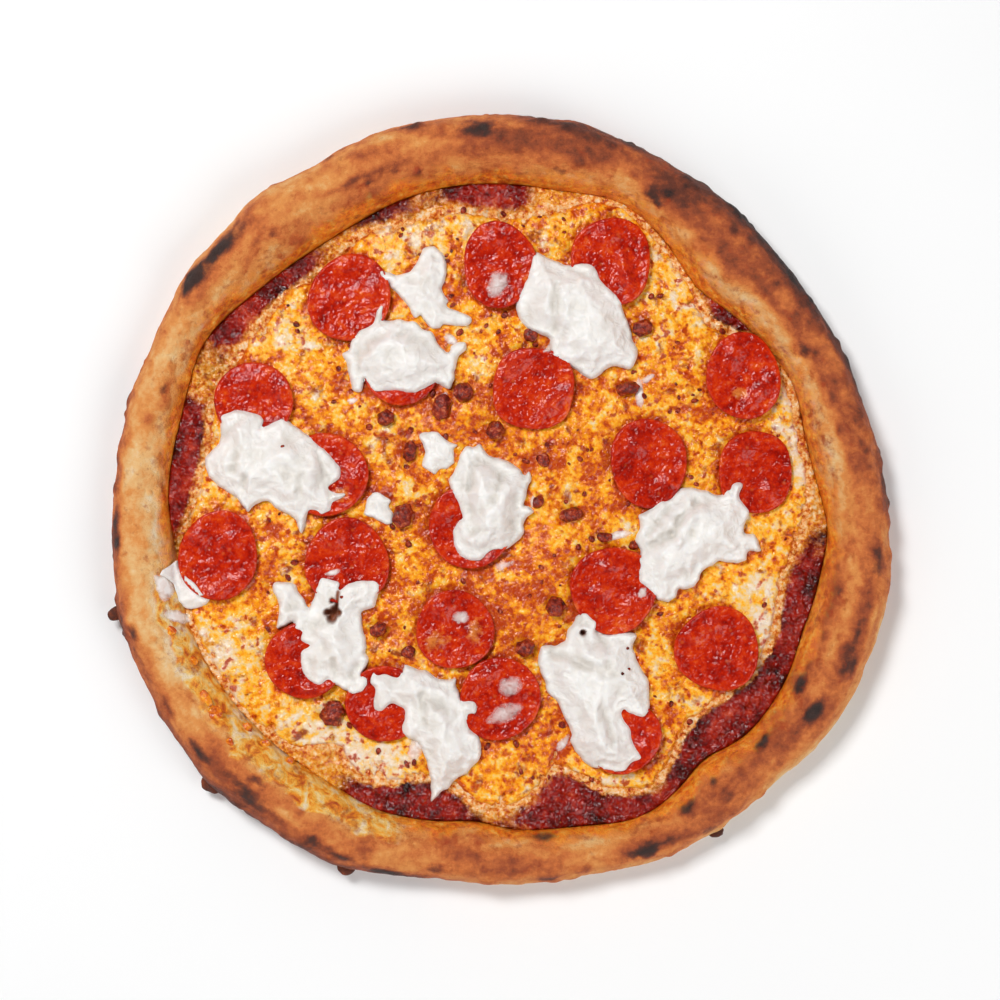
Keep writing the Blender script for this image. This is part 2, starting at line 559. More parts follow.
bare = np.clip(sum(amount * np.exp(-(turn_between(around, where) / width) ** 4)
                   for where, width, amount in BARE_SAUCE), 0, 1)
bare = bare * smoothstep(beside, -2, 6)
milk = smoothstep(-beside, -4.5, 0.5)
sauce_mesh = make_mesh("tomato_sauce_spread", sauce_points, sauce_faces,
                       {"bare": bare, "milk": milk})

# Cooked tomato: dark red and wet, paler and matt where it dried; elsewhere orange oil and
# fine strands of cream cheese lie over it.
cooked_tomato, tree = new_material("cooked_tomato_sauce")
place = add_node(tree, "ShaderNodeTexCoord")
patches = add_node(tree, "ShaderNodeTexNoise",
                   {"Scale": 1 / 0.012, "Detail": 4.0, "Roughness": 0.6},
                   {"Vector": (place, "Object")})
flesh = add_node(tree, "ShaderNodeTexNoise", {"Scale": 1 / 0.0024, "Detail": 5.0, "Roughness": 0.7},
                 {"Vector": (place, "Object")})
both = add_node(tree, "ShaderNodeMath", {"operation": "MULTIPLY_ADD", 1: 0.55},
                {0: (flesh, "Fac"), 2: (patches, "Fac")})
redder = add_node(tree, "ShaderNodeMapRange", {"From Min": 0.56, "From Max": 1.0},
                  {"Value": (both, 0)})
red = add_node(tree, "ShaderNodeValToRGB", {"stops": [
    (0.0, "#260201"), (0.3, "#620603"), (0.55, "#8C1005"), (0.78, "#A8240C"), (1.0, "#C2482C")]},
    {"Fac": (redder, 0)})
showing = add_node(tree, "ShaderNodeAttribute", {"attribute_name": "bare"})
covered = add_node(tree, "ShaderNodeMath", {"operation": "MULTIPLY_ADD", 1: -1.1},
                   {0: (showing, "Fac"), 2: (both, 0)})
oil_share = add_node(tree, "ShaderNodeMapRange",
                     {"From Min": 0.08, "From Max": 0.53, "To Max": 0.92},
                     {"Value": (covered, 0)})
oil_tone = add_node(tree, "ShaderNodeValToRGB", {"stops": [
    (0.36, "#B83E08"), (0.46, "#E07F14"), (0.54, "#F3A830"),
    (0.66, "#F5D8A8")]}, {"Fac": (flesh, "Fac")})
oily_sauce = add_node(tree, "ShaderNodeMix", {"data_type": "RGBA"},
                      {"Factor": (oil_share, 0), 6: (red, "Color"), 7: (oil_tone, "Color")})
milkiness = add_node(tree, "ShaderNodeAttribute", {"attribute_name": "milk"})
strings = add_node(tree, "ShaderNodeTexNoise",
                   {"Scale": 1 / 0.0055, "Detail": 4.0, "Roughness": 0.6, "Distortion": 0.2},
                   {"Vector": (place, "Object")})
curdy = add_node(tree, "ShaderNodeMath", {"operation": "MULTIPLY_ADD", 1: 0.42},
                 {0: (milkiness, "Fac"), 2: (strings, "Fac")})
curd_share = add_node(tree, "ShaderNodeMapRange",
                      {"From Min": 0.68, "From Max": 0.76, "To Max": 0.95},
                      {"Value": (curdy, 0)})
curd_tone = add_node(tree, "ShaderNodeValToRGB", {"stops": [
    (0.36, "#A82C08"), (0.45, "#DC7A20"), (0.53, "#F0B468"),
    (0.64, "#F2D6B4")]}, {"Fac": (flesh, "Fac")})
stringy = add_node(tree, "ShaderNodeMix", {"data_type": "RGBA"},
                   {"Factor": (curd_share, 0), 6: (oily_sauce, 2), 7: (curd_tone, "Color")})
dryness = add_node(tree, "ShaderNodeMapRange",
                   {"From Min": 0.45, "From Max": 0.65, "To Min": 0.12, "To Max": 0.28},
                   {"Value": (patches, "Fac")})
wet = add_node(tree, "ShaderNodeTexNoise", {"Scale": 1 / 0.0032, "Detail": 1.0},
               {"Vector": (place, "Object")})
pulpy = add_node(tree, "ShaderNodeBump", {"Strength": 0.3, "Distance": 0.001},
                 {"Height": (flesh, "Fac")})
lumpy = add_node(tree, "ShaderNodeBump", {"Strength": 1.0, "Distance": 0.003},
                 {"Height": (wet, "Fac"), "Normal": (pulpy, "Normal")})
sauce_surface = add_node(tree, "ShaderNodeBsdfPrincipled", {"IOR": 1.42}, {
    "Base Color": (stringy, 2), "Roughness": (dryness, 0), "Normal": (lumpy, "Normal")})
add_node(tree, "ShaderNodeOutputMaterial", None, {"Surface": (sauce_surface, "BSDF")})
add_piece("tomato_sauce_spread", sauce_mesh, cooked_tomato, ["tomato_sauce"])

# ---- Melted cheese -----------------------------------------------------------
# Grated mozzarella, melted into one sheet over the sauce. Its fat has taken the
# red of the sausage, so cream and orange lie side by side, with scorched specks.

CHEESE_RINGS = 178
CHEESE_EDGE_COUNT = 1440
CHEESE_FOOT = SAUCE_LEVEL - 1.0
CHEESE_SEAM = SAUCE_LEVEL - 0.5       # where its thin edge meets the sauce
# Where the cheese is paler, thicker and less oily: x, y, half width, amount
CREAMY_PLACES = [
    (-90, 66, 16, 0.25), (60, 100, 16, 0.35), (122, 18, 14, 0.6), (108, -42, 14, 0.5),
    (112, -62, 14, 0.4), (-35, 116, 16, 0.45), (-112, -66, 16, 0.5), (-75, -100, 20, 0.5),
    (-50, -112, 16, 0.45), (48, -116, 10, 0.35), (-122, 40, 12, 0.5), (-10, 62, 9, 0.2),
    (0, 112, 14, 0.35), (88, 78, 12, 0.3), (118, 46, 9, 0.5), (76, -70, 12, 0.2), (-126, 0, 9, 0.4),
    (10, 20, 45, -0.1), (-20, 30, 30, -0.1), (5, -42, 26, -0.2), (-40, -45, 16, -0.12),
    (30, -100, 12, -0.25),
]


def hexagonal_disc(ring_count):
    """Share and angle of each point of a disc of hexagonal rings, and its faces."""
    shares, angles, starts, faces = [0.0], [0.0], [0], []
    for ring in range(1, ring_count + 1):
        starts.append(len(shares))
        shares += [ring / ring_count] * (6 * ring)
        angles += [2 * math.pi * i / (6 * ring) for i in range(6 * ring)]
    for ring in range(1, ring_count + 1):
        outer, inner = starts[ring], starts[ring - 1]
        for sector in range(6):
            for i in range(ring):
                a = sector * ring + i
                b = sector * (ring - 1) + i
                low = outer + a
                low_next = outer + (a + 1) % (6 * ring)
                up = inner + b % max(1, 6 * (ring - 1))
                faces.append((low, low_next, up))
                if i < ring - 1:
                    faces.append((up, low_next, inner + (b + 1) % (6 * (ring - 1))))
    return np.array(shares), np.array(angles), faces


def read_round(values, angles):
    """Values at even directions, read at any angle."""
    steps = np.arange(len(values) + 1) * 2 * math.pi / len(values)
    return np.interp(angles % (2 * math.pi), steps, np.append(values, values[0]))


cheese_edge = round_smoothed(cheese_reach, CHEESE_EDGE_COUNT, 0.012)
turn = np.arange(CHEESE_EDGE_COUNT) * 2 * math.pi / CHEESE_EDGE_COUNT
edge_points = np.stack([np.cos(turn) * 130, np.sin(turn) * 130, np.zeros(len(turn))], axis=1)
cheese_edge = cheese_edge + 1.8 * rough(edge_points, 11, 31)
foot_edge = read_round(foot_radius, turn)
cheese_edge = np.minimum(cheese_edge, foot_edge - 0.2)

share, angle, cheese_faces = hexagonal_disc(CHEESE_RINGS)
reach = read_round(cheese_edge, angle)
cheese = np.stack([share * reach * np.cos(angle), share * reach * np.sin(angle),
                   np.zeros_like(share)], axis=1)

# Heights are read on a square grid of the solids' tops and softened.
GRID_STEP = 1.5
lines = np.arange(-165, 166, GRID_STEP)


def surface_height(tree, points, lowest=0.0):
    """Height of a tree's top over points about the middle, in millimetres."""
    heights = []
    for x, y in (points[:, :2] + MIDDLE[:2]) * MM:
        met = tree.ray_cast(Vector((x, y, 1)), Vector((0, 0, -1)))[0]
        heights.append(lowest if met is None else met[2] / MM)
    return np.array(heights)


def top_grid(tree, lowest):
    """The height of a tree's top at each point of the grid."""
    x, y = np.meshgrid(lines, lines)
    places = np.column_stack([x.ravel(), y.ravel()])
    return surface_height(tree, places, float(lowest)).reshape(x.shape)


def softened(tops, cells):
    """A grid blurred by a number of cells."""
    reach = math.ceil(3 * cells)
    kernel = np.exp(-0.5 * (np.arange(-reach, reach + 1) / cells) ** 2)
    kernel /= kernel.sum()
    for axis in (0, 1):
        tops = np.apply_along_axis(
            lambda row: np.convolve(np.pad(row, reach, mode="edge"), kernel, "valid"), axis, tops)
    return tops


def read_grid(tops, x, y):
    """Heights of a grid between its points."""
    u = np.clip((x - lines[0]) / GRID_STEP, 0, len(lines) - 1.001)
    v = np.clip((y - lines[0]) / GRID_STEP, 0, len(lines) - 1.001)
    i, j = v.astype(int), u.astype(int)
    fv, fu = v - i, u - j
    return ((tops[i, j] * (1 - fu) + tops[i, j + 1] * fu) * (1 - fv)
            + (tops[i + 1, j] * (1 - fu) + tops[i + 1, j + 1] * fu) * fv)


soft_cheese = softened(top_grid(cheese_tree, 7.0), 1.5)


def cheese_level(x, y):
    """Height of the softened cheese top."""
    return read_grid(soft_cheese, x, y)


inset = (1 - share) * reach
marble = rough(cheese, 7, 41) + 0.5 * rough(cheese, 2.4, 43)
cream = 0.4 + 0.35 * marble
for x, y, width, amount in CREAMY_PLACES:
    cream += amount * np.exp(-((cheese[:, 0] - x) ** 2 + (cheese[:, 1] - y) ** 2) / width ** 2)
for number in range(1, 21):
    low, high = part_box(f"pepperoni_{number:02d}")
    middle = (np.array(low) + np.array(high))[:2] / 2 / MM - MIDDLE[:2]
    half = (np.array(high) - np.array(low))[:2] / 2 / MM
    apart = np.linalg.norm((cheese[:, :2] - middle) / half, axis=1) - 1
    cream -= 0.3 * np.exp(-(apart * half.mean() / 1.8) ** 2)
lace = rough(cheese, 5, 45) + 0.5 * rough(cheese, 1.8, 47)
hole = smoothstep(lace - 0.07 * inset, 0.15, 0.4) * smoothstep(-inset, -14, -6)
thick = smoothstep(inset + 0.8 * rough(cheese, 2.5, 48), 0, 2.5) * (1 - hole)
curds = rough(cheese, 3.2, 49, steps=2)
level = cheese_level(cheese[:, 0], cheese[:, 1]) + 0.35 * marble + 0.35 * curds
cheese[:, 2] = CHEESE_SEAM + (level - CHEESE_SEAM) * thick
count = 6 * CHEESE_RINGS
first_edge = len(cheese) - count
low_ring = cheese[first_edge:].copy()
low_ring[:, 2] = CHEESE_FOOT
cheese_points = np.concatenate([cheese, low_ring, [[0, 0, CHEESE_FOOT]]]) + MIDDLE
for i in range(count):
    j = (i + 1) % count
    low, low_next = len(cheese) + i, len(cheese) + j
    cheese_faces.append((first_edge + i, low, low_next, first_edge + j))
    cheese_faces.append((low_next, low, len(cheese) + count))
pad = np.zeros(count + 1)
cheese_mesh = make_mesh("melted_cheese_sheet", cheese_points, cheese_faces, {
    "cream": np.concatenate([cream, pad]), "thick": np.concatenate([thick, pad])})

# Melted mozzarella: granular and glossy with fat, cream and yellow where it is thick,
# deep orange where red oil lies, with scorched red-brown specks.
melted_mozzarella, tree = new_material("melted_mozzarella")
place = add_node(tree, "ShaderNodeTexCoord")
curds = add_node(tree, "ShaderNodeTexNoise", {"Scale": 1 / 0.0024, "Detail": 3.0, "Roughness": 0.6},
                 {"Vector": (place, "Object")})
blotches = add_node(tree, "ShaderNodeTexNoise",
                    {"Scale": 1 / 0.0085, "Detail": 3.0, "Roughness": 0.55, "Distortion": 0.7},
                    {"Vector": (place, "Object")})
reds = add_node(tree, "ShaderNodeTexNoise",
                {"Scale": 1 / 0.0062, "Detail": 3.0, "Roughness": 0.6, "Distortion": 0.4},
                {"Vector": (place, "Object")})
specks = add_node(tree, "ShaderNodeTexNoise", {"Scale": 1 / 0.0036, "Detail": 2.0},
                  {"Vector": (place, "Object")})
grains = add_node(tree, "ShaderNodeTexNoise", {"Scale": 1 / 0.0022, "Detail": 1.0},
                  {"Vector": (place, "Object")})
creaminess = add_node(tree, "ShaderNodeAttribute", {"attribute_name": "cream"})
mottled = add_node(tree, "ShaderNodeMath", {"operation": "MULTIPLY_ADD", 1: 1.5},
                   {0: (curds, "Fac"), 2: (creaminess, "Fac")})
blotched = add_node(tree, "ShaderNodeMath", {"operation": "MULTIPLY_ADD", 1: 1.5},
                    {0: (blotches, "Fac"), 2: (mottled, 0)})
oily = add_node(tree, "ShaderNodeMapRange", {"From Min": 1.5, "From Max": 2.75},
                {"Value": (blotched, 0)})
cheese_colour = add_node(tree, "ShaderNodeValToRGB", {"stops": [
    (0.03, "#B83E08"), (0.17, "#E2720C"), (0.31, "#F69A14"), (0.43, "#FDB62A"), (0.54, "#F9C55E"),
    (0.66, "#EFCC94"), (0.8, "#F0D9BA"), (1.0, "#F3E4D2")]}, {"Fac": (oily, 0)})
redness = add_node(tree, "ShaderNodeMath", {"operation": "MULTIPLY_ADD", 1: -0.1},
                   {0: (creaminess, "Fac"), 2: (reds, "Fac")})
red_share = add_node(tree, "ShaderNodeMapRange", {"From Min": 0.5, "From Max": 0.64, "To Max": 0.9},
                     {"Value": (redness, 0)})
scorch = add_node(tree, "ShaderNodeValToRGB", {"stops": [
    (0.45, "#F0921C"), (0.53, "#DE660E"), (0.6, "#B63408"),
    (0.7, "#8A1C05")]}, {"Fac": (reds, "Fac")})
reddish = add_node(tree, "ShaderNodeMix", {"data_type": "RGBA"},
                   {"Factor": (red_share, 0), 6: (cheese_colour, "Color"), 7: (scorch, "Color")})
speck_share = add_node(tree, "ShaderNodeMapRange",
                       {"From Min": 0.55, "From Max": 0.67, "To Max": 0.9},
                       {"Value": (specks, "Fac")})
speck_tone = add_node(tree, "ShaderNodeValToRGB", {"stops": [
    (0.56, "#F09A2C"), (0.62, "#D6560C"), (0.69, "#AA2A04")]}, {"Fac": (specks, "Fac")})
specked = add_node(tree, "ShaderNodeMix", {"data_type": "RGBA"},
                   {"Factor": (speck_share, 0), 6: (reddish, 2), 7: (speck_tone, "Color")})
thickness = add_node(tree, "ShaderNodeAttribute", {"attribute_name": "thick"})
thin_share = add_node(tree, "ShaderNodeMapRange",
                      {"From Min": 0.3, "From Max": 0.9, "To Min": 0.5, "To Max": 0.0},
                      {"Value": (thickness, "Fac")})
reddened = add_node(tree, "ShaderNodeMix", {"data_type": "RGBA", 7: linear("#CC6424")},
                    {"Factor": (thin_share, 0), 6: (specked, 2)})
grained = add_node(tree, "ShaderNodeBump", {"Strength": 0.9, "Distance": 0.0011},
                   {"Height": (grains, "Fac")})
curdled = add_node(tree, "ShaderNodeBump", {"Strength": 0.5, "Distance": 0.0012},
                   {"Height": (curds, "Fac"), "Normal": (grained, "Normal")})
cheese_surface = add_node(tree, "ShaderNodeBsdfPrincipled", {
    "IOR": 1.4, "Roughness": 0.2, "Subsurface Weight": 0.1, "Subsurface Scale": 0.001,
    "Subsurface Radius": (1.0, 0.6, 0.3)}, {
    "Base Color": (reddened, 2), "Normal": (curdled, "Normal")})
add_node(tree, "ShaderNodeOutputMaterial", None, {"Surface": (cheese_surface, "BSDF")})
add_piece("melted_cheese_sheet", cheese_mesh, melted_mozzarella, ["melted_cheese"])

# ---- Pepperoni slices --------------------------------------------------------
# Twenty thin rounds cut from a cured pork and paprika sausage. In the oven each
# cups a little, its fat runs out and its edge dries to a brighter red.

SLICE_RINGS = 24
SLICE_THICKNESS = 2.0
FOLD_STRENGTH = 1.5
# Blisters and folds that stand up from a slice: slice, x and y from its middle, length,
# width, turn, rise
FOLDED_UP = [
    (1, -1, 12.5, 9, 5, 0, 0.9), (1, 10, 1, 5, 9, 0, 0.8), (1, -8, -1, 8, 8, 0, 0.6),
    (2, -3, 10, 9, 6, 20, 1.0), (3, -1, 10, 9, 8, 0, 1.5), (3, 7, -7, 5, 13, 20, 1.5),
    (3, 5, 2, 5, 8, 20, 0.8), (4, -7, 9.5, 15, 4.5, 38, 1.6), (4, 9, -6, 15, 4.5, 42, 1.6),
    (5, -4, 9, 7, 12, -20, 1.3), (5, 6, -8, 13, 5, 50, 1.3), (6, -6, 10, 9, 8, 0, 1.3),
    (6, 6, -8, 5, 9, 10, 1.2), (7, -5, 7, 7, 8, 0, 1.4), (7, 8, -8, 6, 7, 0, 1.0),
    (8, 0, 8, 16, 9, 0, 0.9), (8, 11, 3, 5, 6, 0, 0.8), (9, -8, 8, 8, 8, 0, 1.1),
    (9, 6, 6, 7, 7, 0, 0.9), (9, 4, -13, 14, 4.5, 30, 1.0), (10, 11, -2, 7, 10, 0, 0.9),
    (11, -6, 8, 9, 6, 20, 1.3), (11, 8, 2, 12, 12, 0, 0.7), (12, -12.5, 6, 6, 9, 20, 1.2),
    (13, -5, 8, 7, 7, 0, 1.3), (13, -8, -4, 9, 8, 0, 0.9), (13, 8, -3, 6, 8, 0, 1.0),
    (14, -6, 9.5, 11, 5, 30, 1.4), (14, 8, 3, 7, 8, 0, 0.8), (15, -8, 8, 6, 8, -20, 1.3),
    (15, 4, -12, 12, 4, 0, 0.9), (16, -4, -6, 12, 9, 0, 0.9), (17, -2, 10, 8, 6, 0, 1.3),
    (17, -5, 0, 7, 5, 0, 1.1), (17, 8, -6, 9, 8, 0, 0.8), (18, -1, 9, 8, 6, 0, 1.2),
    (18, -9, 5, 7, 7, 0, 1.2), (18, 5, -6, 14, 12, 0, 0.8), (19, 9, -5, 8, 8, 0, 0.8),
    (20, 0, -12, 14, 4, 0, 0.8),
]

# Patches of pale fat: slice, x and y from its middle, length, width, turn
FAT_PATCHES = [
    (13, -8, -5, 12, 9, 20), (13, 8, -1, 8, 13, -10), (5, -1.7, -7.4, 8, 6, 0),
    (10, 5, -8, 9, 7, 20),
]

# Cured sausage: ground meat set in fat, deep orange-red with dark maroon grain, wet with
# oil that breaks the light into small spots; its edge is a cleaner, brighter red.
cured_sausage, tree = new_material("cured_paprika_sausage")
place = add_node(tree, "ShaderNodeTexCoord")
grind = add_node(tree, "ShaderNodeTexNoise", {"Scale": 1 / 0.003, "Detail": 5.0, "Roughness": 0.7},
                 {"Vector": (place, "Object")})
clouds = add_node(tree, "ShaderNodeTexNoise",
                  {"Scale": 1 / 0.011, "Detail": 3.0, "Distortion": 0.6},
                  {"Vector": (place, "Object")})
fat = add_node(tree, "ShaderNodeTexVoronoi", {"Scale": 1 / 0.0052, "Randomness": 1.0},
               {"Vector": (place, "Object")})
rim = add_node(tree, "ShaderNodeAttribute", {"attribute_name": "rim"})
brighter = add_node(tree, "ShaderNodeMath", {"operation": "MULTIPLY_ADD", 1: 0.05},
                    {0: (rim, "Fac"), 2: (grind, "Fac")})
clouded = add_node(tree, "ShaderNodeMath", {"operation": "MULTIPLY_ADD", 1: 0.7},
                   {0: (clouds, "Fac"), 2: (brighter, 0)})
meatier = add_node(tree, "ShaderNodeMapRange", {"From Min": 0.6, "From Max": 1.15},
                   {"Value": (clouded, 0)})
meat = add_node(tree, "ShaderNodeValToRGB", {"stops": [
    (0.0, "#800A03"), (0.29, "#A81604"), (0.51, "#C02405"), (0.73, "#D0380A"), (1.0, "#E26420")]},
    {"Fac": (meatier, 0)})
fat_share = add_node(tree, "ShaderNodeMapRange",
                     {"From Min": 0.06, "From Max": 0.2, "To Min": 0.4, "To Max": 0.0},
                     {"Value": (fat, "Distance")})
fatty = add_node(tree, "ShaderNodeMix", {"data_type": "RGBA", 7: linear("#DE6A34")},
                 {"Factor": (fat_share, 0), 6: (meat, "Color")})
patchy = add_node(tree, "ShaderNodeAttribute", {"attribute_name": "patch"})
patch_edge = add_node(tree, "ShaderNodeMath", {"operation": "MULTIPLY_ADD", 1: 2.4},
                      {0: (grind, "Fac"), 2: (patchy, "Fac")})
patch_share = add_node(tree, "ShaderNodeMapRange",
                       {"From Min": 1.6, "From Max": 2.2, "To Max": 0.7},
                       {"Value": (patch_edge, 0)})
patched = add_node(tree, "ShaderNodeMix", {"data_type": "RGBA", 7: linear("#DE8A3C")},
                   {"Factor": (patch_share, 0), 6: (fatty, 2)})
wet = add_node(tree, "ShaderNodeTexNoise", {"Scale": 1 / 0.0021, "Detail": 1.0},
               {"Vector": (place, "Object")})
grained = add_node(tree, "ShaderNodeBump", {"Strength": 0.3, "Distance": 0.0008},
                   {"Height": (grind, "Fac")})
wetted = add_node(tree, "ShaderNodeBump", {"Strength": 0.75, "Distance": 0.001},
                  {"Height": (wet, "Fac"), "Normal": (grained, "Normal")})
slice_surface = add_node(tree, "ShaderNodeBsdfPrincipled", {"IOR": 1.38, "Roughness": 0.18}, {
    "Base Color": (patched, 2), "Normal": (wetted, "Normal")})
add_node(tree, "ShaderNodeOutputMaterial", None, {"Surface": (slice_surface, "BSDF")})


def solid_points(name):
    """A CAD solid's points in millimetres about the middle, each once."""
    points = np.array([v.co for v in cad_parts[name].data.vertices]) / MM - MIDDLE
    return np.unique(points.round(3), axis=0)


def slice_outline(points, centre, count):
    """Radius of a round slice's outline at even directions, from its solid's points."""
    offsets = points[:, :2] - centre
    angles = np.arctan2(offsets[:, 1], offsets[:, 0])
    distances = np.linalg.norm(offsets, axis=1)
    outer = distances > 0.8 * distances.max()
    order = np.argsort(angles[outer])
    a, d = angles[outer][order], distances[outer][order]
    a, d = np.concatenate([a - 2 * math.pi, a, a + 2 * math.pi]), np.tile(d, 3)
    return round_smoothed(np.interp(np.arange(72) * math.pi / 36, a, d), count, 0.12)


def slice_basis(offsets, shares):
    """What a slice's surface is made of: a leaning plane and a rim that curls unevenly."""
    angles = np.arctan2(offsets[:, 1], offsets[:, 0])
    return np.stack([np.ones(len(offsets)), offsets[:, 0], offsets[:, 1], shares ** 3,
                     shares ** 3 * np.cos(2 * angles), shares ** 3 * np.sin(2 * angles)], axis=1)


def oval(away, length, width, turn):
    """A soft oval hump, from 0 to 1, over places given from its middle."""
    cosine, sine = math.cos(math.radians(turn)), math.sin(math.radians(turn))
    return np.exp(-((away @ [cosine, sine]) * 2 / length) ** 2
                  - ((away @ [-sine, cosine]) * 2 / width) ** 2)


share, angle, disc_faces = hexagonal_disc(SLICE_RINGS)
edge_count = 6 * SLICE_RINGS
edge_angle = np.arange(edge_count) * 2 * math.pi / edge_count
for number in range(1, 21):
    name = f"pepperoni_{number:02d}"
    points = solid_points(name)
    centre = (points[:, :2].max(axis=0) + points[:, :2].min(axis=0)) / 2
    outline = slice_outline(points, centre, 288)
    edge = np.stack([outline * np.cos(np.arange(288) * math.pi / 144) + centre[0],
                     outline * np.sin(np.arange(288) * math.pi / 144) + centre[1],
                     np.zeros(288)], axis=1)
    outline = outline + 0.25 * rough(edge, 6, number)
    tops = {}
    for x, y, z in points:
        key = (round(x, 1), round(y, 1))
        tops[key] = max(z, tops.get(key, z))
    known = np.array([(x, y, z) for (x, y), z in tops.items()])
    offsets = known[:, :2] - centre
    angles = np.arctan2(offsets[:, 1], offsets[:, 0])
    shares = np.linalg.norm(offsets, axis=1) / read_round(outline, angles)
    form = np.linalg.lstsq(slice_basis(offsets, shares), known[:, 2], rcond=None)[0]

    def slice_ring(shares_wanted, angles_wanted, drop):
        reach = shares_wanted * read_round(outline, angles_wanted)
        offsets = np.stack([reach * np.cos(angles_wanted), reach * np.sin(angles_wanted)], axis=1)
        z = slice_basis(offsets, np.minimum(shares_wanted, 1)) @ form - drop
        return np.concatenate([offsets + centre, z[:, None]], axis=1)

    top = slice_ring(share, angle, 0)
    lift = 0.3 * rough(top, 9, number + 40, steps=2) + 0.12 * rough(top, 3, number + 60) - 0.15
    for which, x, y, length, width, turned, rise in FOLDED_UP:
        if which == number:
            lift += FOLD_STRENGTH * rise * oval(top[:, :2] - centre - [x, y], length, width, turned)
    patch = np.zeros(len(top))
    for which, x, y, length, width, turned in FAT_PATCHES:
        if which == number:
            patch += oval(top[:, :2] - centre - [x, y], length, width, turned)
    top[:, 2] += lift * smoothstep(1 - share, -0.05, 0.12)
    top[:, 2] -= 0.45 * smoothstep(share, 0.95, 1.0)
    one = np.ones(edge_count)
    under = [slice_ring(one * s, edge_angle, d) for s, d in
             ((1.012, 0.9), (1.005, 1.5), (0.98, 1.95), (0.8, SLICE_THICKNESS),
              (0.45, SLICE_THICKNESS))]
    pole = slice_ring(np.zeros(1), np.zeros(1), SLICE_THICKNESS)
    slice_points = np.concatenate([top, *under, pole]) + MIDDLE
    faces = list(disc_faces)
    start = len(top) - edge_count
    for _ in under:
        after = start + edge_count
        for i in range(edge_count):
            j = (i + 1) % edge_count
            faces.append((start + i, after + i, after + j, start + j))
        start = after
    faces += [(start + (i + 1) % edge_count, start + i, len(slice_points) - 1)
              for i in range(edge_count)]
    rim_marks = np.concatenate([smoothstep(share, 0.8, 1), np.ones(edge_count * 3),
                                np.full(edge_count * 2, 0.5), [0.5]])
    mesh = make_mesh(f"{name}_slice", slice_points, faces, {
        "rim": rim_marks, "patch": np.append(patch, np.zeros(len(slice_points) - len(patch)))})
    add_piece(f"{name}_slice", mesh, cured_sausage, [name])

# What the toppings above rest on: the highest of the rim, the cheese and the slices.
support = top_grid(solid_tree("dough_crust", "melted_cheese",
                              *[f"pepperoni_{number:02d}" for number in range(1, 21)]), 0.0)
soft_support = softened(support, 2.5)

# ---- Burrata -----------------------------------------------------------------
# Fresh burrata, torn by hand over the hot pizza: sheets and strings of pulled curd
# that lie in a heap, white and wet, with ragged edges, low folds and small holes.

LUMP_VOXEL = 0.6
PRISM_HEIGHT = 4.0
ROUND_EDGE = 1.6                      # width of a sheet's rounded edge
LUMP_TOPS = [10, 8, 10, 11, 10, 10, 9, 10, 11, 6, 5, 4]  # over the cheese
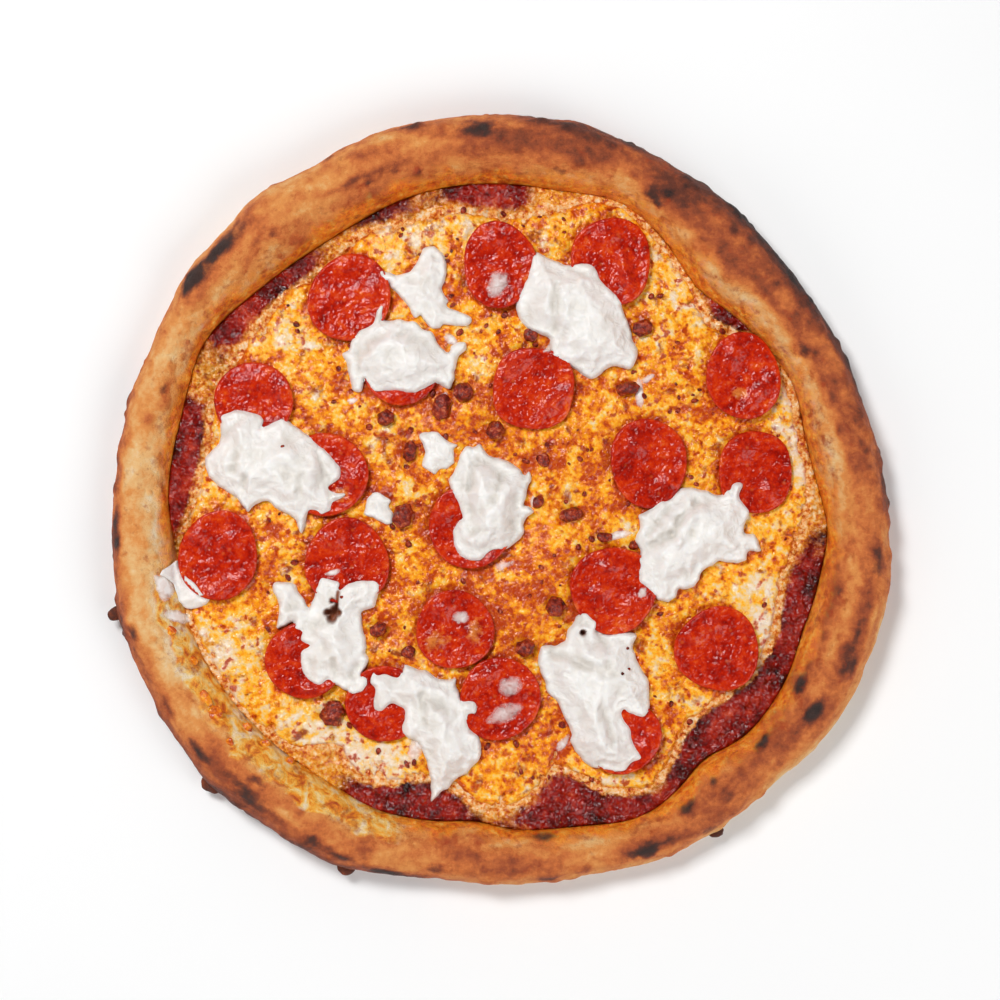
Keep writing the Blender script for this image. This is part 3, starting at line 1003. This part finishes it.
# The corners of each sheet's torn edge, about the pizza's middle
TORN_EDGES = [
    [(-116, 34), (-112, 36), (-108, 37), (-103, 36), (-99, 34), (-99, 30), (-96, 31), (-90, 33),
     (-85, 30), (-80, 27), (-77, 23), (-74, 21), (-71, 18), (-67, 14), (-67, 10), (-69, 7),
     (-72, 5), (-69, 3), (-65, 3), (-65, 1), (-70, -1), (-71, -4), (-74, -6), (-77, -4),
     (-80, -4), (-81, -8), (-83, -14), (-85, -9), (-89, -6), (-93, -4), (-96, -1), (-100, -1),
     (-103, -3), (-105, -5), (-107, -3), (-109, 0), (-113, 3), (-117, 6), (-121, 10),
     (-123, 17), (-120, 20), (-117, 24), (-116, 29)],
    [(-29, 105), (-27, 104), (-24, 102), (-23, 99), (-23, 94), (-24, 89), (-25, 87), (-24, 85),
     (-22, 82), (-23, 80), (-19, 78), (-16, 77), (-13, 75), (-14, 72), (-19, 72), (-24, 73),
     (-26, 71), (-29, 71), (-32, 74), (-34, 76), (-36, 75), (-38, 78), (-40, 82), (-42, 84),
     (-45, 87), (-47, 90), (-50, 94), (-47, 94), (-44, 93), (-39, 94), (-36, 97), (-33, 103)],
    [(-39, 74), (-36, 74), (-33, 71), (-29, 69), (-27, 65), (-24, 62), (-22, 61), (-21, 64),
     (-18, 65), (-15, 65), (-15, 62), (-18, 59), (-19, 55), (-20, 51), (-20, 49), (-22, 46),
     (-26, 48), (-28, 48), (-33, 46), (-37, 44), (-42, 45), (-49, 45), (-53, 45), (-55, 48),
     (-57, 50), (-58, 45), (-61, 45), (-63, 50), (-64, 55), (-66, 60), (-63, 62), (-62, 66),
     (-60, 68), (-59, 70), (-54, 72), (-51, 78), (-49, 80), (-49, 75), (-45, 74), (-43, 75)],
    [(14, 102), (18, 100), (22, 99), (26, 97), (30, 97), (36, 97), (39, 94), (41, 90), (45, 86),
     (49, 81), (51, 76), (53, 71), (54, 66), (56, 61), (55, 56), (53, 54), (49, 55), (45, 55),
     (42, 53), (40, 51), (37, 50), (34, 51), (30, 54), (26, 57), (21, 60), (20, 64), (20, 67),
     (15, 69), (11, 71), (8, 74), (6, 79), (7, 84), (10, 90), (12, 96)],
    [(-9, 23), (-7, 20), (-4, 18), (0, 17), (4, 15), (7, 13), (9, 10), (11, 12), (12, 9),
     (11, 6), (10, 3), (9, -2), (11, -3), (13, -5), (10, -7), (9, -10), (9, -13), (6, -17),
     (2, -20), (-1, -20), (-4, -21), (-8, -24), (-11, -25), (-15, -24), (-18, -22), (-20, -18),
     (-20, -13), (-18, -9), (-16, -8), (-17, -4), (-19, 1), (-21, 5), (-22, 8), (-20, 12),
     (-18, 15), (-17, 19), (-15, 22), (-12, 22)],
    [(57, -6), (61, -4), (65, -1), (69, 0), (71, 2), (73, 4), (77, 5), (84, 4), (90, 2),
     (93, 4), (95, 3), (95, 6), (98, 7), (99, 5), (98, 1), (100, -2), (102, -6), (101, -9),
     (100, -12), (100, -14), (104, -14), (106, -17), (107, -21), (103, -21), (101, -22),
     (101, -25), (97, -26), (94, -26), (90, -25), (87, -27), (84, -28), (82, -31), (80, -35),
     (76, -37), (73, -37), (72, -40), (68, -42), (64, -41), (63, -39), (60, -36), (57, -34),
     (57, -30), (57, -26), (57, -21), (55, -17), (57, -10)],
    [(-94, -34), (-86, -35), (-84, -38), (-81, -43), (-79, -44), (-77, -39), (-76, -36),
     (-75, -33), (-74, -32), (-72, -33), (-67, -34), (-68, -37), (-67, -38), (-65, -36),
     (-63, -34), (-58, -33), (-52, -34), (-51, -36), (-51, -39), (-53, -44), (-58, -46),
     (-58, -48), (-57, -56), (-56, -60), (-57, -63), (-55, -65), (-56, -68), (-58, -72),
     (-56, -74), (-57, -78), (-61, -80), (-64, -79), (-68, -77), (-71, -74), (-76, -76),
     (-80, -74), (-82, -71), (-83, -65), (-82, -62), (-79, -60), (-83, -58), (-82, -54),
     (-85, -53), (-86, -50), (-90, -52), (-93, -53), (-92, -46), (-93, -41), (-95, -37)],
    [(-53, -71), (-52, -72), (-47, -72), (-43, -73), (-41, -70), (-40, -68), (-38, -69),
     (-35, -70), (-32, -70), (-30, -71), (-26, -74), (-21, -74), (-19, -74), (-19, -77),
     (-18, -80), (-17, -83), (-13, -83), (-11, -84), (-10, -86), (-11, -88), (-14, -88),
     (-14, -92), (-13, -95), (-10, -97), (-9, -101), (-9, -107), (-11, -109), (-15, -113),
     (-20, -116), (-22, -119), (-25, -121), (-29, -125), (-29, -121), (-30, -115), (-31, -110),
     (-32, -105), (-34, -101), (-38, -99), (-40, -97), (-41, -93), (-40, -87), (-43, -85),
     (-46, -84), (-49, -87), (-52, -87), (-53, -84), (-52, -79), (-54, -75)],
    [(31, -48), (34, -47), (37, -49), (39, -51), (39, -54), (42, -55), (47, -55), (55, -55),
     (54, -60), (55, -64), (56, -67), (60, -73), (61, -76), (61, -81), (61, -86), (59, -89),
     (56, -89), (52, -87), (50, -86), (49, -88), (50, -91), (53, -95), (54, -100), (57, -106),
     (54, -108), (51, -111), (47, -112), (42, -111), (37, -110), (33, -107), (30, -103),
     (28, -100), (29, -96), (26, -90), (23, -84), (19, -79), (17, -74), (15, -69), (15, -65),
     (16, -61), (20, -60), (23, -60), (26, -58), (27, -54), (29, -51)],
    [(-33, 28), (-30, 28), (-27, 28), (-25, 26), (-22, 24), (-18, 23), (-20, 21), (-20, 17),
     (-20, 15), (-23, 13), (-26, 13), (-28, 11), (-30, 12), (-33, 14), (-33, 16), (-32, 20),
     (-33, 24), (-34, 26)],
    [(-52, 3), (-49, 2), (-46, 0), (-47, -2), (-45, -5), (-45, -9), (-47, -10), (-50, -9),
     (-54, -7), (-57, -6), (-56, -2), (-55, 1)],
    [(-134, -25), (-132, -30), (-127, -34), (-123, -39), (-121, -41), (-124, -44),
     (-130, -45), (-133, -42), (-134, -38), (-135, -35), (-138, -32), (-140, -30), (-137, -27)],
]
# Folds that run from one point to another: lump, both points, rise, half width
FOLDS = [
    (1, -109, 18, -111, 12, -1.6, 1.6), (1, -101, 18, -100, 17, -1.6, 4),
    (1, -90, 12, -89, 11, -1.3, 3.5), (1, -82, 10, -84, 3, -1.5, 1.7),
    (1, -106, 9, -107, 5, -1.4, 1.4), (1, -76, 20, -72, 8, -1.4, 1.3),
    (1, -72, 8, -71, 2, -1.4, 1.2), (1, -115, 26, -108, 33, -1.2, 1.4),
    (1, -96, 15, -88, 19, 1.4, 3), (2, -33, 91, -30, 91, -1.3, 1.8),
    (3, -42, 68, -38, 70, -1.3, 1.4), (3, -46, 60, -45, 60, -1.5, 3.5),
    (3, -59.5, 60, -59, 52, -1.5, 1.5), (4, 22, 88, 22, 70, -1.7, 1.8),
    (4, 26, 70, 24, 64, -1.5, 1.5), (4, 28, 95, 41, 90, -1.2, 1.5), (4, 26, 84, 26, 60, 1.2, 2.5),
    (5, -14, 4, -12, 14, -1.6, 1.6), (5, -3, 0, 0, 10, -1.6, 1.6), (5, -11, -2, -6, 12, 1.2, 2.5),
    (5, -1, -3, 6, 9, 1.2, 2.5), (5, -6, -3, -6, -3, -1.4, 1.6), (5, -17, -17, -16, -17, -1, 1.5),
    (6, 82, -4, 77, -8, 1.4, 2), (6, 77, -8, 73, -17, 1.4, 2), (6, 73, -17, 60, -24, 1.4, 2),
    (6, 80, -1, 73, -8, -1.7, 1.7), (6, 73, -8, 70, -14, -1.7, 1.7),
    (6, 70, -14, 62, -18, -1.7, 1.7), (6, 69, -3, 64, -9, -1.2, 1.3),
    (6, 64, -9, 60, -14, -1.2, 1.3),
    (6, 78, -13, 78, -14, -1.3, 1.4), (7, -66, -56, -65, -56, -1.3, 3),
    (7, -73, -60, -73, -61, -1.2, 1.8),
    (7, -69.5, -66, -69, -73, -1.6, 1.3), (7, -59, -67, -59, -68, -1.2, 1.4),
    (7, -61, -73, -62, -72, -1.2, 1.4), (7, -89, -45, -84, -43, -1.5, 1.5),
    (8, -32, -81, -24, -85, -1.8, 3), (8, -33, -80, -32, -93, -1.5, 1.5),
    (8, -36, -74, -28, -80, 1.3, 2.5),
    (9, 40, -55, 43, -60, -1.5, 1.4), (9, 40, -65, 40, -65, 1.6, 2.2),
    (9, 43, -67, 43, -68, -1.6, 1.5),
    (9, 21, -62, 33, -67, -1.6, 2), (9, 33, -67, 46, -72, -1.6, 2),
    (9, 41, -85, 46, -98, -1.5, 1.8),
]
# Tears that go right through: lump, both ends, half width
TEARS = [
    (7, -70, -41, -70, -41.5, 0.9), (7, -70, -48.5, -69, -45.5, 2.2),
    (7, -72, -46.3, -67.5, -46.5, 1.5),
    (7, -68.3, -44, -67.5, -38, 0.7), (9, 33.3, -54.6, 33.5, -54.8, 1.1),
    (2, -33, 73.4, -32.6, 73.4, 0.9),
]

# Fresh pulled curd in cream: white, faintly warm and greyer in its folds, wet, and light
# passes through its thin edges; a hole shows the oily cheese under it.
fresh_curd, tree = new_material("fresh_cream_curd")
place = add_node(tree, "ShaderNodeTexCoord")
wisps = add_node(tree, "ShaderNodeTexNoise", {"Scale": 1 / 0.005, "Detail": 4.0, "Distortion": 1.8},
                 {"Vector": (place, "Object")})
folding = add_node(tree, "ShaderNodeAttribute", {"attribute_name": "fold"})
wispy = add_node(tree, "ShaderNodeMath", {"operation": "MULTIPLY_ADD", 1: 0.6},
                 {0: (wisps, "Fac"), 2: (folding, "Fac")})
white = add_node(tree, "ShaderNodeValToRGB", {"stops": [
    (0.2, "#D6D0C8"), (0.5, "#E6E1DA"), (0.72, "#EDE9E4"), (1.0, "#F4F1ED")]}, {"Fac": (wispy, 0)})
tearing = add_node(tree, "ShaderNodeAttribute", {"attribute_name": "tear"})
torn = add_node(tree, "ShaderNodeMix", {"data_type": "RGBA", 7: linear("#8A4A28")},
                {"Factor": (tearing, "Fac"), 6: (white, "Color")})
strands = add_node(tree, "ShaderNodeBump", {"Strength": 0.5, "Distance": 0.0014},
                   {"Height": (wisps, "Fac")})
curd_surface = add_node(tree, "ShaderNodeBsdfPrincipled", {
    "IOR": 1.4, "Roughness": 0.4, "Subsurface Weight": 0.2, "Subsurface Scale": 0.001,
    "Subsurface Radius": (1.0, 0.85, 0.7)}, {
    "Base Color": (torn, 2), "Normal": (strands, "Normal")})
add_node(tree, "ShaderNodeOutputMaterial", None, {"Surface": (curd_surface, "BSDF")})


def remeshed(name, points, faces, voxel, rounds):
    """A closed body rebuilt in small even cells and softened: its points, normals and faces."""
    work = bpy.data.objects.new(name + "_work", make_mesh(name + "_work", points, faces))
    bpy.context.scene.collection.objects.link(work)
    cells = work.modifiers.new("cells", "REMESH")
    cells.mode = "VOXEL"
    cells.voxel_size = voxel * MM
    soften = work.modifiers.new("soften", "SMOOTH")
    soften.factor = 0.5
    soften.iterations = rounds
    shaped = work.evaluated_get(bpy.context.evaluated_depsgraph_get()).to_mesh()
    new_points = np.empty(len(shaped.vertices) * 3)
    shaped.vertices.foreach_get("co", new_points)
    normals = np.empty(len(shaped.vertices) * 3)
    shaped.vertex_normals.foreach_get("vector", normals)
    new_faces = [tuple(p.vertices) for p in shaped.polygons]
    mesh = work.data
    bpy.data.objects.remove(work, do_unlink=True)
    bpy.data.meshes.remove(mesh)
    return new_points.reshape(-1, 3) / MM, normals.reshape(-1, 3), new_faces


def torn_outline(corners, seed):
    """A smooth ragged line through the corners of a torn edge."""
    corners = np.array(corners, dtype=float)
    before, after, later = (np.roll(corners, k, axis=0) for k in (1, -1, -2))
    steps = [0.5 * (2 * corners + (after - before) * t
                    + (2 * before - 5 * corners + 4 * after - later) * t ** 2
                    + (3 * corners - before - 3 * after + later) * t ** 3)
             for t in np.arange(0, 1, 0.2)]
    line = np.stack(steps, axis=1).reshape(-1, 2)
    solid = np.concatenate([line, np.full((len(line), 1), seed)], axis=1)
    ragged = np.stack([rough(solid, 2.8, seed + k, steps=3) for k in (0, 50)], axis=1)
    return line + 0.75 * ragged


def line_distance(points, start, end):
    """Distance of points, seen from above, to the line between two points."""
    start, end = np.array(start), np.array(end)
    way = end - start
    share = np.clip((points - start) @ way / max(way @ way, 1e-9), 0, 1)
    return np.linalg.norm(points - start - share[:, None] * way, axis=1)


def edge_distance(points, outline):
    """Distance of points, seen from above, to a closed outline."""
    nearest = np.full(len(points), 1e9)
    for start, end in zip(outline, np.roll(outline, -1, axis=0)):
        nearest = np.minimum(nearest, line_distance(points, start, end))
    return nearest


for number, (corners, tallest) in enumerate(zip(TORN_EDGES, LUMP_TOPS), start=1):
    name = f"burrata_{number:02d}"
    outline = torn_outline(corners, number)
    sides = len(outline)
    prism = np.concatenate([np.column_stack([outline, np.full(sides, z)])
                            for z in (0, PRISM_HEIGHT)])
    prism_faces = [tuple(range(sides)), tuple(range(2 * sides - 1, sides - 1, -1))]
    prism_faces += [(i, i + sides, (i + 1) % sides + sides, (i + 1) % sides) for i in range(sides)]
    points, _, faces = remeshed(name, prism, prism_faces, LUMP_VOXEL, 1)
    seen = points[:, :2]
    inset = edge_distance(seen, outline)
    flat_points = np.column_stack([seen, np.full(len(seen), 3.1 * number)])
    roundness = np.sqrt(1 - (1 - np.clip(inset / ROUND_EDGE, 0, 1)) ** 2)
    body = tallest * (0.36 + 0.64 * smoothstep(inset, 0, 12)) * roundness
    warp = np.stack([3 * rough(flat_points, 14, number + 90),
                     3 * rough(flat_points, 14, number + 91), np.zeros(len(seen))], axis=1)
    fold = 0.55 - 2.2 * np.abs(rough(flat_points + warp, 9, number + 70, steps=2))
    fold += 0.45 - 1.5 * np.abs(rough(flat_points + 0.5 * warp, 4.5, number + 85, steps=2))
    fold += 0.25 * rough(flat_points, 1.8, number + 80, steps=2)
    tear = np.zeros(len(seen))
    for lump, x0, y0, x1, y1, rise, width in FOLDS:
        if lump == number:
            fold += rise * np.exp(-(line_distance(seen, (x0, y0), (x1, y1)) / width) ** 2)
    for lump, x0, y0, x1, y1, width in TEARS:
        if lump == number:
            tear = np.maximum(tear, smoothstep(
                -line_distance(seen, (x0, y0), (x1, y1)), -width - 0.6, -width * 0.5))
    under = read_grid(support, seen[:, 0], seen[:, 1]) + 0.1
    drape = read_grid(soft_support, seen[:, 0], seen[:, 1])
    rest = cheese_level(seen[:, 0], seen[:, 1])
    top = np.maximum(0.5 * (rest + drape) + body + fold * roundness, under + 1.2 * roundness)
    top = top + (under + 0.4 - top) * tear
    share_up = np.clip(points[:, 2] / PRISM_HEIGHT, 0, 1)
    points[:, 2] = under + (top - under) * share_up
    mesh = make_mesh(f"{name}_torn", points + MIDDLE, faces, {
        "fold": np.clip(0.45 + 0.3 * fold, 0, 1), "tear": tear * (share_up > 0.3)})
    add_piece(f"{name}_torn", mesh, fresh_curd, [name])

# ---- Whey --------------------------------------------------------------------
# Cream and whey that ran out of the burrata: thin milky puddles on the slices and the
# cheese, and smears beside the lumps.

# Puddles: place, length, width, turn, cloudiness
PUDDLES = [
    (-2, 88.5, 12, 8, 60, 0.6), (3, -77, 10, 9, 20, 0.45), (1, -88.5, 15, 8, 25, 0.5),
    (57, 44, 12, 3.5, 95, 0.8), (60, 50, 6, 3, 40, 0.7), (48, -14.5, 11, 4, 10, 0.8),
    (25, -101, 8, 4, 60, 0.7), (-83, -9, 4, 9, 0, 0.6), (0.5, -27, 8, 3.5, 20, 0.5),
    (-20.5, 66, 8, 4, -40, 0.8), (-139, -35, 7, 11, 10, 1.1), (-134, -48, 9, 5, -20, 1.0),
    (-24, 43, 5, 3, 60, 0.7), (13, -1, 5, 2.5, 80, 0.7), (-36, -103, 6, 13, -15, 0.7),
    (95, -20, 6, 3, 0, 0.6), (-62, 41, 5, 2.5, 20, 0.7), (20, 63, 6, 3, 40, 0.7),
    (-70, -30, 6, 2.5, 10, 0.7), (58, -38, 5, 3, 60, 0.6), (-17, -48.5, 6, 5, 0, 0.7),
]
PUDDLE_RINGS = 12
PUDDLE_THICKNESS = 0.5

# Whey with cream in it: milky white, wet, and clear enough at its edge to show what is under.
milky_whey, tree = new_material("milky_whey")
place = add_node(tree, "ShaderNodeTexCoord")
swirl = add_node(tree, "ShaderNodeTexNoise", {"Scale": 1 / 0.003, "Detail": 3.0, "Distortion": 1.0},
                 {"Vector": (place, "Object")})
milk = add_node(tree, "ShaderNodeValToRGB", {"stops": [(0.35, "#F4E4DC"), (0.6, "#FBF6F3")]},
                {"Fac": (swirl, "Fac")})
depth = add_node(tree, "ShaderNodeAttribute", {"attribute_name": "depth"})
cloudy = add_node(tree, "ShaderNodeMath", {"operation": "MULTIPLY_ADD", 1: 0.6},
                  {0: (swirl, "Fac"), 2: (depth, "Fac")})
body = add_node(tree, "ShaderNodeMapRange",
                {"From Min": 0.3, "From Max": 1.15, "To Min": 0.0, "To Max": 0.95},
                {"Value": (cloudy, 0)})
whey_surface = add_node(tree, "ShaderNodeBsdfPrincipled", {"IOR": 1.35, "Roughness": 0.25}, {
    "Base Color": (milk, "Color"), "Alpha": (body, 0)})
add_node(tree, "ShaderNodeOutputMaterial", None, {"Surface": (whey_surface, "BSDF")})


def mesh_tree(*names):
    """A search tree of finished pieces."""
    parts = [bpy.data.objects[name].data for name in names]
    points, faces = joined([(np.array([v.co for v in mesh.vertices]),
                             [tuple(p.vertices) for p in mesh.polygons]) for mesh in parts])
    return BVHTree.FromPolygons(points.tolist(), faces)


slice_names = [f"pepperoni_{number:02d}_slice" for number in range(1, 21)]
table_tree = mesh_tree("dough_crust_baked", "tomato_sauce_spread", "melted_cheese_sheet",
                       *slice_names)
share, angle, puddle_faces = hexagonal_disc(PUDDLE_RINGS)
puddles, depths = [], []
for index, (x, y, length, width, turned, cloudiness) in enumerate(PUDDLES):
    spread = np.stack([share * np.cos(angle) * length / 2,
                       share * np.sin(angle) * width / 2], axis=1)
    spread = about_upright(spread, turned)
    round_line = np.stack([np.cos(angle), np.sin(angle), np.full(len(angle), index)], axis=1)
    spread *= (1.1 + 0.5 * rough(round_line, 0.8, 140 + index, steps=2))[:, None]
    puddle = np.column_stack([spread + [x, y], np.zeros(len(share))])
    lies_on = surface_height(table_tree, puddle)
    deep = np.sqrt(np.clip(1 - share ** 2, 0, 1))
    top, low = puddle.copy(), puddle.copy()
    top[:, 2] = lies_on - 0.1 + (PUDDLE_THICKNESS + 0.1) * deep
    low[:, 2] = lies_on - 0.25
    edge = len(share) - 6 * PUDDLE_RINGS + np.arange(6 * PUDDLE_RINGS)
    after = np.roll(edge, -1)
    walls = np.stack([edge, edge + len(share), after + len(share), after], axis=1).tolist()
    faces = list(puddle_faces)
    faces += [tuple(len(share) + i for i in face[::-1]) for face in puddle_faces]
    puddles.append((np.concatenate([top, low]), faces + walls))
    depths.append(np.tile(deep ** 2 * cloudiness, 2))
puddle_points, puddle_mesh_faces = joined(puddles)
puddle_mesh = make_mesh("whey_puddles", puddle_points + MIDDLE, puddle_mesh_faces,
                        {"depth": np.concatenate(depths)})
add_piece("whey_puddles", puddle_mesh, milky_whey)

# ---- Meat bits ---------------------------------------------------------------
# Crumbs of cooked sausage meat, scattered with the cheese and sunk in it. They are
# rough, brown-red and shiny with fat.

# Cooked ground meat: dark red-brown grain with a wet coat of orange oil.
cooked_meat, tree = new_material("cooked_sausage_meat")
place = add_node(tree, "ShaderNodeTexCoord")
grain = add_node(tree, "ShaderNodeTexNoise", {"Scale": 1 / 0.002, "Detail": 4.0, "Roughness": 0.7},
                 {"Vector": (place, "Object")})
brown = add_node(tree, "ShaderNodeValToRGB", {"stops": [
    (0.32, "#3A0602"), (0.47, "#781604"), (0.58, "#A8320E"),
    (0.72, "#D07A4A")]}, {"Fac": (grain, "Fac")})
crumbly = add_node(tree, "ShaderNodeBump", {"Strength": 0.8, "Distance": 0.001},
                   {"Height": (grain, "Fac")})
meat_surface = add_node(tree, "ShaderNodeBsdfPrincipled", {"IOR": 1.45, "Roughness": 0.18}, {
    "Base Color": (brown, "Color"), "Normal": (crumbly, "Normal")})
add_node(tree, "ShaderNodeOutputMaterial", None, {"Surface": (meat_surface, "BSDF")})

for number in range(1, 14):
    name = f"meat_bit_{number:02d}"
    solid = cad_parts[name].data
    points, normals, faces = remeshed(
        name, np.array([v.co for v in solid.vertices]) / MM - MIDDLE,
        [tuple(p.vertices) for p in solid.polygons], 0.45, 6)
    relief = 0.25 + 0.5 * rough(points, 2.4, number + 120)
    upward = smoothstep(points[:, 2] - points[:, 2].min(), 0.2, 1.5)
    points = points + normals * (relief * upward)[:, None]
    mesh = make_mesh(f"{name}_crumb", points + MIDDLE, faces)
    add_piece(f"{name}_crumb", mesh, cooked_meat, [name])

# Smaller crumbs: first those that show from a step away, which are one with the cheese or
# the rim, then fine ones strewn over the cheese. Place, length, width, turn.
CRUMBS = [
    (11.6, 68.1, 5.8, 5.4, 0), (16.9, 16.9, 5.8, 5.4, 30), (15, -1, 5, 4.4, 60),
    (42.1, -15.3, 6.6, 4.2, -10), (54.3, -18.8, 4, 3.6, 0), (-38.8, -62.8, 5.8, 5.4, 50),
]
# Browned bubbles of cheese on the rim's slope. Place, length, width, turn.
BUBBLES = [
    (-121.4, -81.3, 4.4, 7.8, 25), (-117.7, -87.5, 6.1, 5.7, 0), (-135.8, -53.7, 4.5, 4, 0),
    (-105, -94.1, 5, 4.5, 0), (-98.1, -100.6, 5, 4, 30), (-127, -66, 4, 3.5, 10),
    (-111.5, -99, 4, 3.4, 50), (-88, -108, 4.5, 3.5, 20),
]
BUBBLE_HEIGHT = 2.6
BUBBLE_MARKS = {"cream": 0.25, "thick": 0.6}
CRUMB_HEIGHT = 3.4
FINE_CRUMBS = 120
FINE_CRUMB_SIZES = (1.2, 3.4)
FINE_CRUMB_REACH = 122                # how far from the middle they lie
CURD_CRUMBS = [(51.6, -61.1), (52.1, -69.5), (49.4, -71.3), (-66, -40), (-90, 22)]
CURD_CRUMB_SIZE = (1.6, 1.3, 1.0)

lump_names = [f"burrata_{number:02d}_torn" for number in range(1, 13)]
top_tree = mesh_tree("dough_crust_baked", "tomato_sauce_spread", "melted_cheese_sheet",
                     *slice_names, *lump_names)
crumbs = [(x, y, 1.05 * length, 1.05 * width, CRUMB_HEIGHT, turned)
          for x, y, length, width, turned in CRUMBS]
crumbs += [(x, y, *CURD_CRUMB_SIZE, 30) for x, y in CURD_CRUMBS]
while len(crumbs) < len(CRUMBS) + len(CURD_CRUMBS) + FINE_CRUMBS:
    where = chance.uniform(0, 2 * math.pi)
    out = FINE_CRUMB_REACH * math.sqrt(chance.uniform(0, 1))
    x, y, size = out * math.cos(where), out * math.sin(where), chance.uniform(*FINE_CRUMB_SIZES)
    spot = np.array([[x, y, 0]])
    if surface_height(top_tree, spot)[0] < cheese_level(spot[:, 0], spot[:, 1])[0] + 0.9:
        crumbs.append((x, y, size, size * chance.uniform(0.6, 0.9), size * 0.55,
                       chance.uniform(0, 180)))
places = np.array([crumb[:2] for crumb in crumbs])
bodies = [blob((x, y, up + 0.1 * tall), (length, width, tall), turned, 0, 200 + index,
               3 if tall > 3 else 2)
          for index, ((x, y, length, width, tall, turned), up) in enumerate(
              zip(crumbs, surface_height(top_tree, places)))]
crumb_points, crumb_faces = joined(bodies)
crumb_mesh = make_mesh("meat_crumbs", crumb_points + MIDDLE, crumb_faces)
add_piece("meat_crumbs", crumb_mesh, cooked_meat)

bubble_heights = surface_height(top_tree, np.array([bubble[:2] for bubble in BUBBLES]))
bubble_points, bubble_faces = joined([
    blob((x, y, up - 0.2), (length, width, BUBBLE_HEIGHT), turned, 0, 240 + index, 3)
    for index, ((x, y, length, width, turned), up) in enumerate(zip(BUBBLES, bubble_heights))])
bubble_mesh = make_mesh("cheese_bubbles", bubble_points + MIDDLE, bubble_faces, {
    mark: np.full(len(bubble_points), amount) for mark, amount in BUBBLE_MARKS.items()})
add_piece("cheese_bubbles", bubble_mesh, melted_mozzarella)

# ---- Studio ------------------------------------------------------------------
# A white table, one large soft lamp high at the upper left, and an even white
# room that fills the shadows.

CAMERA_LENS = 100.0
CAMERA_HEIGHT = 1.156
VIEW_CENTRE = (0.00022, 0.00007)

floor_mesh = bpy.data.meshes.new("studio_floor")
floor_mesh.from_pydata([(-3, -3, 0), (3, -3, 0), (3, 3, 0), (-3, 3, 0)], [], [(0, 1, 2, 3)])
floor = bpy.data.objects.new("studio_floor", floor_mesh)
bpy.context.scene.collection.objects.link(floor)
white_table, tree = new_material("matt_white_table")
table_grain = add_node(tree, "ShaderNodeTexNoise", {"Scale": 40.0, "Detail": 2.0})
table_tone = add_node(tree, "ShaderNodeValToRGB", {"stops": [(0.0, "#F7F7F7"), (1.0, "#FAFAFA")]},
                      {"Fac": (table_grain, "Fac")})
table_surface = add_node(tree, "ShaderNodeBsdfPrincipled", {"Roughness": 0.9},
                         {"Base Color": (table_tone, "Color")})
add_node(tree, "ShaderNodeOutputMaterial", None, {"Surface": (table_surface, "BSDF")})
floor_mesh.materials.append(white_table)

camera_data = bpy.data.cameras.new("camera")
camera_data.sensor_width = 36.0
camera_data.lens = CAMERA_LENS
camera = bpy.data.objects.new("camera", camera_data)
camera.location = (*VIEW_CENTRE, CAMERA_HEIGHT)
bpy.context.scene.collection.objects.link(camera)
bpy.context.scene.camera = camera


def add_lamp(name, place, size, power):
    """A square soft lamp that faces the pizza."""
    data = bpy.data.lights.new(name, "AREA")
    data.size = size
    data.energy = power
    lamp = bpy.data.objects.new(name, data)
    lamp.location = place
    lamp.rotation_euler = (-Vector(place)).to_track_quat("-Z", "Y").to_euler()
    bpy.context.scene.collection.objects.link(lamp)


add_lamp("key_lamp", (-0.58, 0.66, 1.45), 0.45, 20.0)
add_lamp("fill_lamp", (1.0, -0.8, 1.1), 1.2, 13.0)
add_lamp("side_lamp", (-1.1, -0.9, 1.0), 1.0, 4.0)

# The room is white round its walls and darker overhead, where the camera hangs, so that
# what shines shows its own colour.
room = bpy.data.worlds.new("white_room")
bpy.context.scene.world = room
room.use_nodes = True
tree = room.node_tree
tree.nodes.clear()
towards = add_node(tree, "ShaderNodeTexCoord")
parts = add_node(tree, "ShaderNodeSeparateXYZ", None, {"Vector": (towards, "Generated")})
walls = add_node(tree, "ShaderNodeValToRGB", {"stops": [
    (0.0, "#FFFFFF"), (0.45, "#FFFFFF"), (0.85, "#484848"),
    (1.0, "#2A2A2A")]}, {"Fac": (parts, "Z")})
air = add_node(tree, "ShaderNodeBackground", {"Strength": 0.34}, {"Color": (walls, "Color")})
add_node(tree, "ShaderNodeOutputWorld", None, {"Surface": (air, "Background")})
bpy.context.scene.view_settings.view_transform = "Standard"
